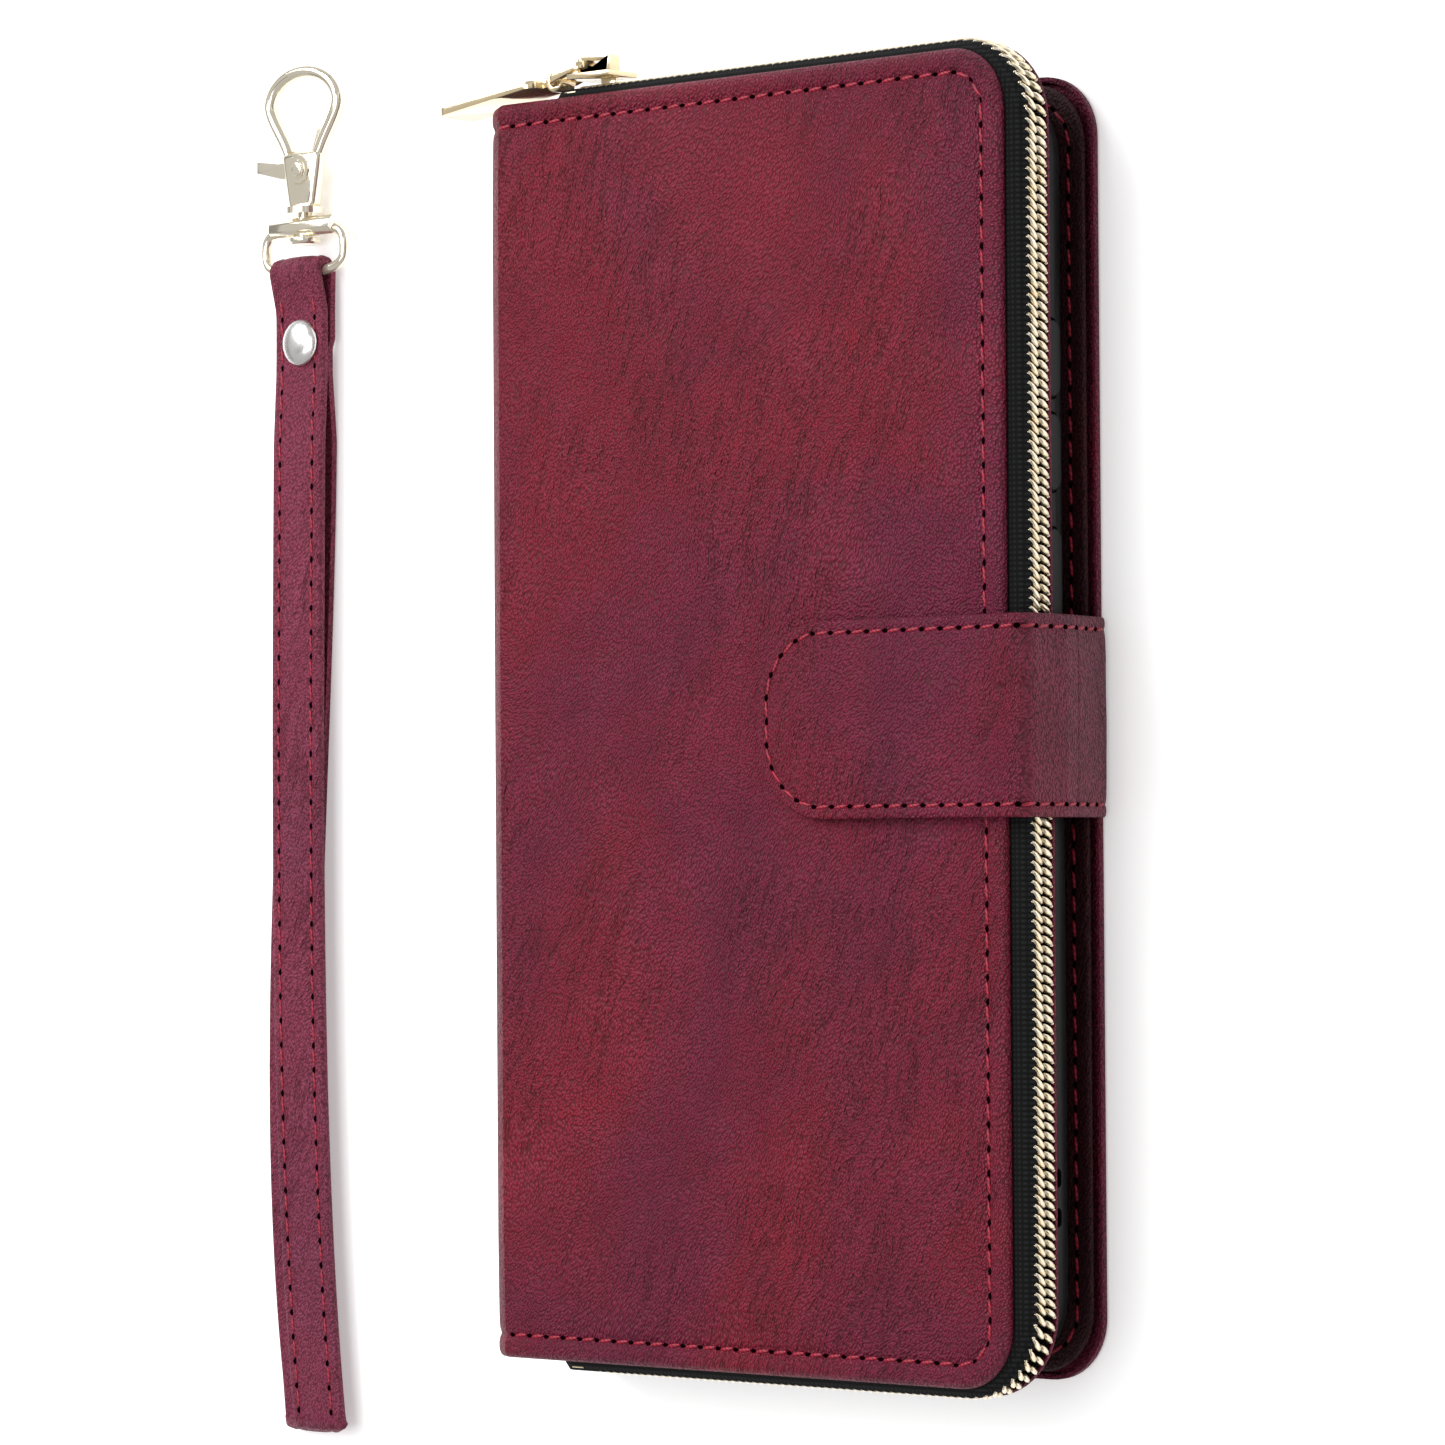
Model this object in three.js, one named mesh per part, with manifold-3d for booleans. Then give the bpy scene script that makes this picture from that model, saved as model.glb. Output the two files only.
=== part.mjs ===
// A folding wallet case for a phone: a leather back cover with a moulded shell, a spine, a zipped
// pouch that is the front cover, a closure strap with a magnet, and a loose wrist strap with a hook.
// It lies closed on its back cover. X runs from the spine to the fore edge, Y to the phone's top,
// and Z out of the front cover. The origin is the middle of the back cover's outer face.
// Millimetres.
import * as THREE from 'three';
import { mergeVertices } from 'three/addons/utils/BufferGeometryUtils.js';
import Module from 'manifold-3d';

const wasm = await Module();
wasm.setup();

// Phone that the case is made for.
const phoneLength = 158;
const phoneWidth = 76;
const phoneDepth = 7.8;
const phoneCornerRadius = 8;
const phoneEdgeRadius = 2.4;

// Clearances.
const sheetGap = 0.05; // between glued sheets
const cutGap = 0.3; // round an edge or a cut
const runGap = 0.2; // round a pin or a wire that turns

// Covers.
const spineRoom = 4; // from the back cover's spine edge to the shell
const coverMargin = 0.4; // from the shell's ends to the back cover's ends
const backDrop = 1; // the back cover sits this much lower than the front
const coverCornerRadius = 8;
const spineCornerRadius = 1.5;
const skinThickness = 0.8;
const boardThickness = 0.6;
const liningThickness = 0.8;
const backHem = 2.5; // width of the skin turned in round the back cover's board
const pouchHem = 5; // width of the front skin turned in over the zip tape

// Phone shell.
const shellWall = 1.6;
const shellFloor = 1.2;
const shellLip = 1;
const shellLipWidth = 1.4;
const shellInset = 1.8; // from the back cover's fore edge
const coverWidth = spineRoom + phoneWidth + 2 * shellWall + shellInset;
const backHeight = phoneLength + 2 * (shellWall + coverMargin);
const frontHeight = backHeight + 2 * backDrop;
const shellEdgeRadius = 4;
const buttonDepth = 1.5;
const buttonProud = 0.4;
const buttonHeight = 3;
const buttonZ = 4.6; // above the shell's underside
const phoneTop = phoneLength / 2 - backDrop;
const phoneBottom = -phoneLength / 2 - backDrop;
const volumeUp = { middle: phoneTop - 33.3, length: 9.6 };
const volumeDown = { middle: phoneTop - 45, length: 9.6 };
const power = { middle: phoneTop - 61, length: 13 };
const lanyardHoles = [phoneBottom + 22.8, phoneBottom + 17.9];
const lanyardHoleLength = 2.4;
const lanyardHoleHeight = 1.5;
const cameraWidth = 24;
const cameraHeight = 52;
const cameraRadius = 7;
const cameraFromForeEdge = 7;
const cameraFromTop = 7;
const portWidth = 13;
const portHeight = 6.4;

// Zip.
const tapeThickness = 0.4;
const tapeOverhang = 2.7;
const teethOverhang = 3;
const teethInner = 0.9; // the teeth's inner face, out from the front panel's edge
const teethHeight = 1.75;
const rowGap = 0.55;
const zipStart = 13; // from the spine edge to the first tooth
const stopLength = 2.4;
const stopHeight = 0.8;
const sliderLength = 7.5;
const sliderFromSpine = zipStart + 2.2;
const wingThickness = 0.7;
const wingWidth = 5.6;
const crownWire = 0.7;
const ringFromEnd = 1.7; // from the slider's end to the ring's bar
const ringLength = 6.4;
const ringWidth = 5.2;
const ringWire = 0.9;
const ringSlope = 17;
const tabLength = 17.5;
const tabWidth = 7.5;
const tabThickness = 1;
const tabSlope = 8;

// Pouch sheets.
const slotThickness = 0.26;
const pocketThickness = 0.28;
const slotGap = 0.04;
const innerSkinThickness = 0.4;
const innerSkinOverhang = 2.7;
const pouchLiningThickness = 0.3;
const dividerThickness = 0.3;
const pouchSpace = 3.4;
const slotSteps = [6.5, 18.5, 30.5]; // from the pocket's fore edge to each card slot's
const slotHeight = 94;

// Closure strap.
const closureWidth = 25;
const closureRun = 36.5; // from the front cover's fore edge to the tip
const closureRootLength = 12;
const closureSkin = 0.75;
const closureLining = 0.4;
const closureTipRadius = closureWidth / 2 - 2;
const closureStart = 1.6; // height at which the strap leaves the back cover
const flapFill = 0.3; // how much the flap's skin is raised over its magnet
const magnetRadius = 6;
const magnetThickness = 0.55;

// Wrist strap and its hook.
const strapFromSpine = 52.7;
const strapX = -coverWidth / 2 - strapFromSpine;
const strapWidth = 11;
const strapThickness = 1.5;
const strapLow = -97;
const ringBarY = 65.6;
const ringBarRadius = 1;
const wireChamfer = 0.4;
const ringBarZ = ringBarRadius + wireChamfer + strapThickness + sheetGap;
const hairpinRadius = 1.6;
const rivetY = ringBarY - 10;
const rivetRadius = 3.3;
const rivetShank = 1.5;
const dRingWidth = 17;
const dRingDepth = 8.8; // from the bar's outside to the barrel's far side
const dRingCorner = 3.4;
const dRingWindowCorner = 0.8;
const barrelLength = 12.2;
const barrelRadius = 1.4;
const swivelPinRadius = 1;
const swivelHeadRadius = 2.3;
const hookThickness = 3.2;
const hookHalfWidth = 7.3;
const hookWire = 1.9;
const hookFootHalf = 3; // half the width of the foot, where the hook meets its swivel pin
const hookShoulderRise = 16.1; // from the hook's foot to where it is widest
const hookRise = 5; // from there to its top
const eyeRise = 8.5;
const gatePivotRise = 6.3;
const gateThickness = 1.2;
const gateWidth = 1.7;
const gatePinRadius = 1;

// Heights, worked out from the sheets.
const backTop = skinThickness + boardThickness + liningThickness + 2 * sheetGap;
const shellLow = backTop + sheetGap;
const bayLow = shellLow + shellFloor;
const bayTop = bayLow + phoneDepth;
const shellTop = bayTop + shellLip;
const innerSkinLow = shellTop + 0.35;
const pocketLow = innerSkinLow - slotGap - pocketThickness;
const slotPitch = slotThickness + slotGap;
const innerTapeLow = innerSkinLow + innerSkinThickness + sheetGap;
const innerLiningLow = innerTapeLow + boardThickness + sheetGap;
const pouchLow = innerLiningLow + pouchLiningThickness;
const outerLiningLow = pouchLow + pouchSpace;
const innerTeethLow = innerSkinLow + innerSkinThickness + sheetGap;
const innerTeethTop = innerTeethLow + teethHeight;
const outerTeethLow = innerTeethTop + rowGap;
const outerBoardLow = outerLiningLow + pouchLiningThickness + sheetGap;
const outerTapeLow = Math.max(outerTeethLow + teethHeight + sheetGap, outerBoardLow);
const hemLow = outerTapeLow + tapeThickness + sheetGap;
const outerSkinLow = Math.max(hemLow + 0.2, outerBoardLow + boardThickness + sheetGap);
const frontTop = outerSkinLow + skinThickness;
const flapLow = frontTop + cutGap;

// Plan outlines.
const foreEdge = coverWidth / 2;
const spineEdge = -coverWidth / 2;
const spineInner = spineEdge + skinThickness + boardThickness + innerSkinThickness + 2 * sheetGap;
const clearOfSpine = spineInner + cutGap;
const front = { low: -frontHeight / 2, high: frontHeight / 2 };
const back = { low: -backHeight / 2 - backDrop, high: backHeight / 2 - backDrop };
const shellRight = foreEdge - shellInset;
const shellMiddleX = shellRight - shellWall - phoneWidth / 2;
const shellMiddleY = (back.low + back.high) / 2;

const part = new THREE.Group();

const leather = { color: 0x7a2a3c, roughness: 0.55, metalness: 0 };
const darkLeather = { color: 0x4a1620, roughness: 0.65, metalness: 0 };
const board = { color: 0x8a8478, roughness: 0.95, metalness: 0 };
const cloth = { color: 0x1e1e20, roughness: 0.95, metalness: 0 };
const shellPlastic = { color: 0x191a1c, roughness: 0.5, metalness: 0 };
const coil = { color: 0xc9b79f, roughness: 0.4, metalness: 0.3 };
const gold = { color: 0xd9b56c, roughness: 0.25, metalness: 1 };
const paleGold = { color: 0xd8c8a4, roughness: 0.25, metalness: 1 };
const silver = { color: 0xc4c4c6, roughness: 0.25, metalness: 1 };
const magnetSteel = { color: 0x6c6e72, roughness: 0.45, metalness: 0.9 };

function add(name, geometry, look) {
  const mesh = new THREE.Mesh(geometry, new THREE.MeshStandardMaterial(look));
  mesh.name = name;
  part.add(mesh);
}

// Booleans: a geometry becomes a solid, and a solid becomes a geometry again.
function toSolid(geometry) {
  const bare = geometry.clone();
  bare.deleteAttribute('normal');
  bare.deleteAttribute('uv');
  const merged = mergeVertices(bare, 1e-4);
  return new wasm.Manifold(new wasm.Mesh({
    numProp: 3,
    vertProperties: Float32Array.from(merged.attributes.position.array),
    triVerts: Uint32Array.from(merged.index.array),
  }));
}

function toGeometry(solid) {
  const mesh = solid.getMesh();
  const geometry = new THREE.BufferGeometry();
  geometry.setAttribute('position', new THREE.BufferAttribute(mesh.vertProperties, 3));
  geometry.setIndex(new THREE.BufferAttribute(mesh.triVerts, 1));
  return geometry;
}

function cut(geometry, ...tools) {
  return toGeometry(tools.reduce((solid, tool) => solid.subtract(toSolid(tool)), toSolid(geometry)));
}

function common(geometry, other) {
  return toGeometry(toSolid(geometry).intersect(toSolid(other)));
}

function join(geometry, ...others) {
  return toGeometry(others.reduce((solid, other) => solid.add(toSolid(other)), toSolid(geometry)));
}

// Basic solids, placed by their limits.
function block(x0, x1, y0, y1, z0, z1) {
  const geometry = new THREE.BoxGeometry(x1 - x0, y1 - y0, z1 - z0);
  return geometry.translate((x0 + x1) / 2, (y0 + y1) / 2, (z0 + z1) / 2);
}

function slab(shape, z0, z1, arcSteps = 3) {
  const geometry = new THREE.ExtrudeGeometry(shape, {
    depth: z1 - z0, bevelEnabled: false, curveSegments: arcSteps,
  });
  return geometry.translate(0, 0, z0);
}

function disc(radius, x, y, z0, z1, steps = 24) {
  const geometry = new THREE.CylinderGeometry(radius, radius, z1 - z0, steps);
  return geometry.rotateX(Math.PI / 2).translate(x, y, (z0 + z1) / 2);
}

// A rectangle with its own radius at the spine side's and the fore side's corners.
function roundedPanel(x0, x1, y0, y1, foreRadius, spineRadius = foreRadius) {
  const shape = new THREE.Shape();
  shape.moveTo(x0 + spineRadius, y0);
  shape.lineTo(x1 - foreRadius, y0);
  shape.absarc(x1 - foreRadius, y0 + foreRadius, foreRadius, -Math.PI / 2, 0);
  shape.lineTo(x1, y1 - foreRadius);
  shape.absarc(x1 - foreRadius, y1 - foreRadius, foreRadius, 0, Math.PI / 2);
  shape.lineTo(x0 + spineRadius, y1);
  shape.absarc(x0 + spineRadius, y1 - spineRadius, spineRadius, Math.PI / 2, Math.PI);
  shape.lineTo(x0, y0 + spineRadius);
  shape.absarc(x0 + spineRadius, y0 + spineRadius, spineRadius, Math.PI, 1.5 * Math.PI);
  return shape;
}

// A cover's outline, grown outwards on three sides, with its spine side at x0.
function coverShape(cover, grow, x0 = spineEdge) {
  const radius = Math.max(coverCornerRadius + grow, 1);
  return roundedPanel(x0, foreEdge + grow, cover.low - grow, cover.high + grow, radius,
    spineCornerRadius);
}

// A U-shaped band along a cover's top, fore edge and bottom, between two offsets.
function edgeBand(cover, growIn, growOut, z0, z1, x0) {
  const far = coverWidth;
  const outer = slab(coverShape(cover, growOut), z0, z1, 4);
  const inner = slab(coverShape(cover, growIn, spineEdge - 5), z0 - 1, z1 + 1, 4);
  return cut(outer, inner, block(-far, x0, -2 * far, 2 * far, z0 - 1, z1 + 1));
}

// A tray body: a rounded rectangle with its bottom edge rounded, cut flat at the top.
function roundedTray(x0, x1, y0, y1, cornerRadius, edgeRadius, z0, z1) {
  const shape = roundedPanel(x0, x1, y0, y1, cornerRadius);
  const geometry = new THREE.ExtrudeGeometry(shape, {
    depth: z1 - z0, curveSegments: 3, bevelEnabled: true, bevelSegments: 3,
    bevelSize: edgeRadius, bevelThickness: edgeRadius, bevelOffset: -edgeRadius,
  });
  geometry.translate(0, 0, z0 + edgeRadius);
  return cut(geometry, block(x0 - 1, x1 + 1, y0 - 1, y1 + 1, z1, z1 + 3 * edgeRadius));
}

// Back cover: skin with its hem turned in, board, lining, and the window for the camera.
const cameraRight = foreEdge - cameraFromForeEdge;
const cameraTop = back.high - cameraFromTop;
function cameraHole(grow, z0, z1) {
  return slab(roundedPanel(cameraRight - cameraWidth - grow, cameraRight + grow,
    cameraTop - cameraHeight - grow, cameraTop + grow, cameraRadius + grow), z0, z1);
}

const backRim = edgeBand(back, -backHem, 0, skinThickness - 0.01, skinThickness + boardThickness
  + sheetGap, clearOfSpine);
const closureHalf = closureWidth / 2;
const rootSlot = block(foreEdge - closureRootLength - cutGap, foreEdge + 1, -closureHalf - cutGap,
  closureHalf + cutGap, skinThickness, backTop - liningThickness);
const backSkin = join(slab(coverShape(back, 0), 0, skinThickness), backRim);
add('back_skin', cut(backSkin, rootSlot, cameraHole(0.6, -1, backTop)), leather);

const boardLow = skinThickness + sheetGap;
const boardTop = boardLow + boardThickness;
const boardShape = coverShape(back, -backHem - cutGap, clearOfSpine);
add('back_board', cut(slab(boardShape, boardLow, boardTop), rootSlot, cameraHole(1.2, -1, backTop)),
  board);
add('closure_root', block(foreEdge - closureRootLength, foreEdge, -closureHalf, closureHalf,
  boardLow, boardTop), leather);
const liningLow = boardTop + sheetGap;
add('back_lining', cut(slab(coverShape(back, -0.2, clearOfSpine), liningLow, backTop),
  cameraHole(0.3, -1, backTop + 1)), darkLeather);

// Phone shell: one moulded tray with a lip, windows for the buttons, a slot for the charging port
// and speaker, two lanyard holes and the camera window.
function phoneShell() {
  const halfX = phoneWidth / 2;
  const halfY = phoneLength / 2;
  const tray = roundedTray(shellMiddleX - halfX - shellWall, shellMiddleX + halfX + shellWall,
    shellMiddleY - halfY - shellWall, shellMiddleY + halfY + shellWall,
    phoneCornerRadius + shellWall, shellEdgeRadius, shellLow, shellTop);
  const bay = roundedTray(shellMiddleX - halfX, shellMiddleX + halfX, shellMiddleY - halfY,
    shellMiddleY + halfY, phoneCornerRadius, phoneEdgeRadius, bayLow, bayTop);
  const mouth = slab(roundedPanel(shellMiddleX - halfX + shellLipWidth,
    shellMiddleX + halfX - shellLipWidth, shellMiddleY - halfY + shellLipWidth,
    shellMiddleY + halfY - shellLipWidth, phoneCornerRadius - shellLipWidth),
    bayTop - 1, shellTop + 1);
  const tools = [bay, mouth, cameraHole(0, shellLow - 1, bayLow + 1)];
  for (const button of [volumeUp, volumeDown, power]) {
    tools.push(buttonShape(button, cutGap, shellRight - shellWall - 2, shellRight + 1));
  }
  for (const y of lanyardHoles) {
    const hole = { middle: y, length: lanyardHoleLength };
    tools.push(buttonShape(hole, 0, shellRight - shellWall - 2, shellRight + 1, lanyardHoleHeight));
  }
  const portMiddle = bayLow + phoneDepth / 2;
  tools.push(block(shellMiddleX - portWidth / 2, shellMiddleX + portWidth / 2,
    shellMiddleY - halfY - shellWall - 1, shellMiddleY - halfY + 1,
    portMiddle - portHeight / 2, portMiddle + portHeight / 2));
  return cut(tray, ...tools);
}

// A long rounded button or hole in the shell's fore side, run along X.
function buttonShape(button, grow, x0, x1, height = buttonHeight) {
  const halfLength = button.length / 2 + grow;
  const halfHeight = height / 2 + grow;
  const shape = roundedPanel(-halfHeight, halfHeight, -halfLength, halfLength, halfHeight * 0.98);
  const geometry = slab(shape, 0, x1 - x0, 4);
  geometry.rotateY(Math.PI / 2);
  return geometry.translate(x0, button.middle, shellLow + buttonZ);
}

add('phone_shell', phoneShell(), shellPlastic);
const buttonFace = shellRight + buttonProud;
const buttons = { volume_up_button: volumeUp, volume_down_button: volumeDown, power_button: power };
for (const [name, button] of Object.entries(buttons)) {
  add(name, buttonShape(button, 0, buttonFace - buttonDepth, buttonFace), shellPlastic);
}

// Spine: three sheets standing between the two folds.
const spineLow = skinThickness + cutGap;
const spineTop = outerSkinLow - cutGap;
const spineY = [Math.max(front.low, back.low) + 0.2, Math.min(front.high, back.high) - 0.2];
const spineBoardX = spineEdge + skinThickness + sheetGap;
add('spine_skin', block(spineEdge, spineEdge + skinThickness, ...spineY, spineLow, spineTop), leather);
add('spine_board', block(spineBoardX, spineBoardX + boardThickness, spineY[0] + 3, spineY[1] - 3,
  spineLow + 1, spineTop - 1), board);
add('spine_lining', block(spineInner - innerSkinThickness, spineInner, ...spineY, spineLow, spineTop),
  darkLeather);

// Card slots and bill pocket on the pouch's inner face, towards the phone.
const mouthInset = shellLipWidth + 1.2;
const mouthLeft = shellMiddleX - phoneWidth / 2 + mouthInset;
const mouthRight = shellMiddleX + phoneWidth / 2 - mouthInset;
const mouthHalfY = phoneLength / 2 - mouthInset;
const slotLeft = mouthLeft + 0.8;
slotSteps.forEach((step, index) => {
  const top = pocketLow - slotGap - index * slotPitch;
  add(`card_slot_${index + 1}`, slab(roundedPanel(slotLeft, mouthRight - step, shellMiddleY - slotHeight / 2,
    shellMiddleY + slotHeight / 2, 2), top - slotThickness, top), darkLeather);
});
add('bill_pocket', slab(roundedPanel(mouthLeft, mouthRight, shellMiddleY - mouthHalfY,
  shellMiddleY + mouthHalfY, phoneCornerRadius - shellLipWidth), pocketLow,
  pocketLow + pocketThickness), darkLeather);
const innerSkinTop = innerSkinLow + innerSkinThickness;
const innerSkinEdge = edgeBand(front, -1, innerSkinOverhang, innerSkinLow, innerSkinTop,
  spineEdge + zipStart);
add('inner_skin', join(slab(coverShape(front, 0, clearOfSpine), innerSkinLow, innerSkinTop),
  innerSkinEdge), leather);

// Pouch: boards and linings round the zipped space, with a divider and a gusset at the spine.
const pouchBoardInset = -pouchHem - cutGap;
add('inner_board', slab(coverShape(front, pouchBoardInset, clearOfSpine + 1), innerTapeLow,
  innerTapeLow + boardThickness), board);
add('inner_lining', slab(coverShape(front, -1.5, clearOfSpine), innerLiningLow,
  innerLiningLow + pouchLiningThickness), cloth);
const gussetRight = clearOfSpine + 0.5;
add('pouch_gusset', block(clearOfSpine, gussetRight, front.low + 2, front.high - 2,
  pouchLow + sheetGap, outerLiningLow - sheetGap), cloth);
const dividerLow = (pouchLow + outerLiningLow - dividerThickness) / 2;
add('pocket_divider', slab(coverShape(front, -4, gussetRight + cutGap), dividerLow,
  dividerLow + dividerThickness), cloth);
add('outer_lining', slab(coverShape(front, -1.5, clearOfSpine), outerLiningLow,
  outerLiningLow + pouchLiningThickness), cloth);
const magnetX = foreEdge - closureRun + closureTipRadius + 1;
const magnetHole = disc(magnetRadius + cutGap, magnetX, 0, outerBoardLow - 1,
  outerBoardLow + boardThickness + 1);
add('outer_board', cut(slab(coverShape(front, pouchBoardInset, clearOfSpine + 1), outerBoardLow,
  outerBoardLow + boardThickness), magnetHole), board);
add('panel_magnet', disc(magnetRadius, magnetX, 0, outerBoardLow, outerBoardLow + magnetThickness),
  magnetSteel);
const frontHem = edgeBand(front, -pouchHem, 0, hemLow, outerSkinLow + 0.01, clearOfSpine);
add('outer_skin', join(slab(coverShape(front, 0), outerSkinLow, frontTop), frontHem), leather);

// Zip: two tapes, two rows of teeth and a stop at each end.
const zipX = spineEdge + zipStart;
add('inner_tape', edgeBand(front, -pouchHem, teethInner - sheetGap, innerTapeLow,
  innerTapeLow + tapeThickness, zipX - 3), cloth);
add('outer_tape', edgeBand(front, -pouchHem, tapeOverhang, outerTapeLow,
  outerTapeLow + tapeThickness, zipX - 3), cloth);
add('inner_teeth', edgeBand(front, teethInner, teethOverhang, innerTeethLow, innerTeethTop, zipX),
  coil);
add('outer_teeth', edgeBand(front, teethInner, teethOverhang, outerTeethLow,
  outerTeethLow + teethHeight, zipX), coil);
const stopFrom = teethInner;
const stopY = { zip_top_stop: front.high + stopFrom,
  zip_bottom_stop: front.low - stopFrom - stopHeight };
for (const [name, y] of Object.entries(stopY)) {
  add(name, block(zipX - stopLength, zipX - cutGap, y, y + stopHeight, innerTeethLow + cutGap,
    outerTapeLow - cutGap), gold);
}

// Slider: an outer and an inner wing joined by a web that runs between the two rows.
const sliderX = spineEdge + sliderFromSpine;
const sliderLow = sliderX - sliderLength / 2;
const sliderHigh = sliderX + sliderLength / 2;
const chainMiddleZ = (innerTeethTop + outerTeethLow) / 2;
const wingLow = front.high + teethOverhang + runGap;
const wingTop = wingLow + wingThickness;
function sliderBody() {
  const halfWing = wingWidth / 2;
  const innerTop = front.high + teethInner - runGap;
  const outerWing = block(sliderLow, sliderHigh, wingLow, wingTop, chainMiddleZ - halfWing,
    chainMiddleZ + halfWing);
  const innerWing = block(sliderLow + 0.5, sliderHigh - 0.5, innerTop - wingThickness, innerTop,
    pouchLow + runGap, outerLiningLow - runGap);
  const web = block(sliderX, sliderHigh - 1, innerTop - 0.1, wingLow + 0.1,
    chainMiddleZ - rowGap / 4, chainMiddleZ + rowGap / 4);
  return join(outerWing, innerWing, web);
}
add('slider_body', sliderBody(), gold);

// Crown: a low bridge on the outer wing that the connector ring hangs from.
// The ring's bar sits just high enough for the sloping ring to clear the wing's end.
const ringAngle = THREE.MathUtils.degToRad(ringSlope);
const ringPivotX = sliderLow + ringFromEnd;
const ringPivotY = wingTop + ringWire / 2 + runGap + ringFromEnd * Math.tan(ringAngle);
const crownLow = wingTop + sheetGap;
function sliderCrown() {
  const crownTop = ringPivotY + ringWire / 2 + runGap + crownWire;
  const left = ringPivotX - ringWire / 2 - runGap - crownWire;
  const right = sliderHigh - 1.4;
  const arch = roundedPanel(left, right, crownLow - 1, crownTop, 0.8);
  const opening = roundedPanel(left + crownWire, right - crownWire, crownLow - 2,
    crownTop - crownWire, 0.4);
  const geometry = cut(slab(arch, chainMiddleZ - 1, chainMiddleZ + 1, 3),
    slab(opening, chainMiddleZ - 2, chainMiddleZ + 2, 3),
    block(left - 1, right + 1, crownLow - 3, crownLow, chainMiddleZ - 2, chainMiddleZ + 2));
  const foot = block(left + 0.1, right - 0.1, crownLow, crownLow + 0.02, chainMiddleZ - 1,
    chainMiddleZ + 1);
  return join(geometry, foot);
}
add('slider_crown', sliderCrown(), gold);

// Connector ring: a rounded rectangle of wire that lies along -X and slopes down.
function tiltAbout(geometry, x, y, degrees) {
  geometry.translate(-x, -y, 0);
  geometry.rotateZ(THREE.MathUtils.degToRad(degrees));
  return geometry.translate(x, y, 0);
}
const ringReach = ringLength - ringWire;
function connectorRing() {
  const outline = roundedPanel(-ringReach - ringWire / 2, ringWire / 2, -ringWidth / 2,
    ringWidth / 2, 1.3);
  const hole = roundedPanel(-ringReach + ringWire / 2, -ringWire / 2, -ringWidth / 2 + ringWire,
    ringWidth / 2 - ringWire, 0.6);
  outline.holes.push(hole);
  const geometry = slab(outline, -ringWire / 2, ringWire / 2, 4);
  geometry.rotateX(Math.PI / 2).translate(ringPivotX, ringPivotY, chainMiddleZ);
  return tiltAbout(geometry, ringPivotX, ringPivotY, ringSlope);
}
add('pull_ring', connectorRing(), gold);

// Pull tab: a flat plate with a rolled eye round the ring's far bar.
const eyeX = ringPivotX - ringReach * Math.cos(ringAngle);
const eyeY = ringPivotY - ringReach * Math.sin(ringAngle);
function pullTab() {
  const eyeHole = ringWire * 0.75 + runGap / 2;
  const eyeRadius = eyeHole + 0.6;
  const eyeWidth = ringWidth - 2 * ringWire - 2 * cutGap;
  const eye = disc(eyeRadius, eyeX, eyeY, chainMiddleZ - eyeWidth / 2, chainMiddleZ + eyeWidth / 2, 16);
  const neckEnd = eyeX - ringWire / 2 - eyeRadius - cutGap;
  const neck = block(neckEnd - 1, eyeX - eyeHole, eyeY - tabThickness / 2, eyeY + tabThickness / 2,
    chainMiddleZ - eyeWidth / 2, chainMiddleZ + eyeWidth / 2);
  const plate = slab(roundedPanel(neckEnd - tabLength, neckEnd, -tabWidth / 2, tabWidth / 2, 1.6),
    -tabThickness / 2, tabThickness / 2, 4);
  plate.rotateX(Math.PI / 2).translate(0, eyeY, chainMiddleZ);
  const bore = disc(eyeHole, eyeX, eyeY, chainMiddleZ - tabWidth, chainMiddleZ + tabWidth, 16);
  return tiltAbout(cut(join(eye, neck, plate), bore), eyeX, eyeY, tabSlope);
}
add('pull_tab', pullTab(), gold);

// Closure strap: a side length up the fore edge and a flap over the front, each of two sheets.
// The side leans out from the back cover until it clears the zip, and then stands straight.
const sideX = foreEdge + cutGap;
const sideTopX = foreEdge + teethOverhang + runGap;
const sideBendZ = innerSkinLow - cutGap;
function sideSheet(from, to) {
  const shape = new THREE.Shape();
  shape.moveTo(sideX + from, closureStart);
  shape.lineTo(sideX + to, closureStart);
  shape.lineTo(sideTopX + to, sideBendZ);
  shape.lineTo(sideTopX + to, flapLow - cutGap);
  shape.lineTo(sideTopX + from, flapLow - cutGap);
  shape.lineTo(sideTopX + from, sideBendZ);
  const geometry = slab(shape, -closureHalf, closureHalf);
  return geometry.rotateX(Math.PI / 2);
}
add('closure_side_lining', sideSheet(0, closureLining), darkLeather);
add('closure_side_skin', sideSheet(closureLining + sheetGap, closureLining + sheetGap + closureSkin),
  leather);

const flapRight = sideTopX + closureLining + closureSkin + sheetGap;
function flapShape(inset) {
  return roundedPanel(foreEdge - closureRun + inset, flapRight - inset, -closureHalf + inset,
    closureHalf - inset, 0.8, closureTipRadius - inset);
}
const flapSkinLow = flapLow + closureLining + sheetGap;
const flapTop = flapSkinLow + closureSkin + flapFill;
const flapRecess = disc(magnetRadius + cutGap, magnetX, 0, flapSkinLow - 1,
  flapSkinLow + magnetThickness + 2 * sheetGap);
add('flap_lining', slab(flapShape(0.3), flapLow, flapLow + closureLining), darkLeather);
add('flap_magnet', disc(magnetRadius, magnetX, 0, flapSkinLow + sheetGap,
  flapSkinLow + sheetGap + magnetThickness), magnetSteel);
add('flap_skin', cut(slab(flapShape(0), flapSkinLow, flapTop), flapRecess), leather);

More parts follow.
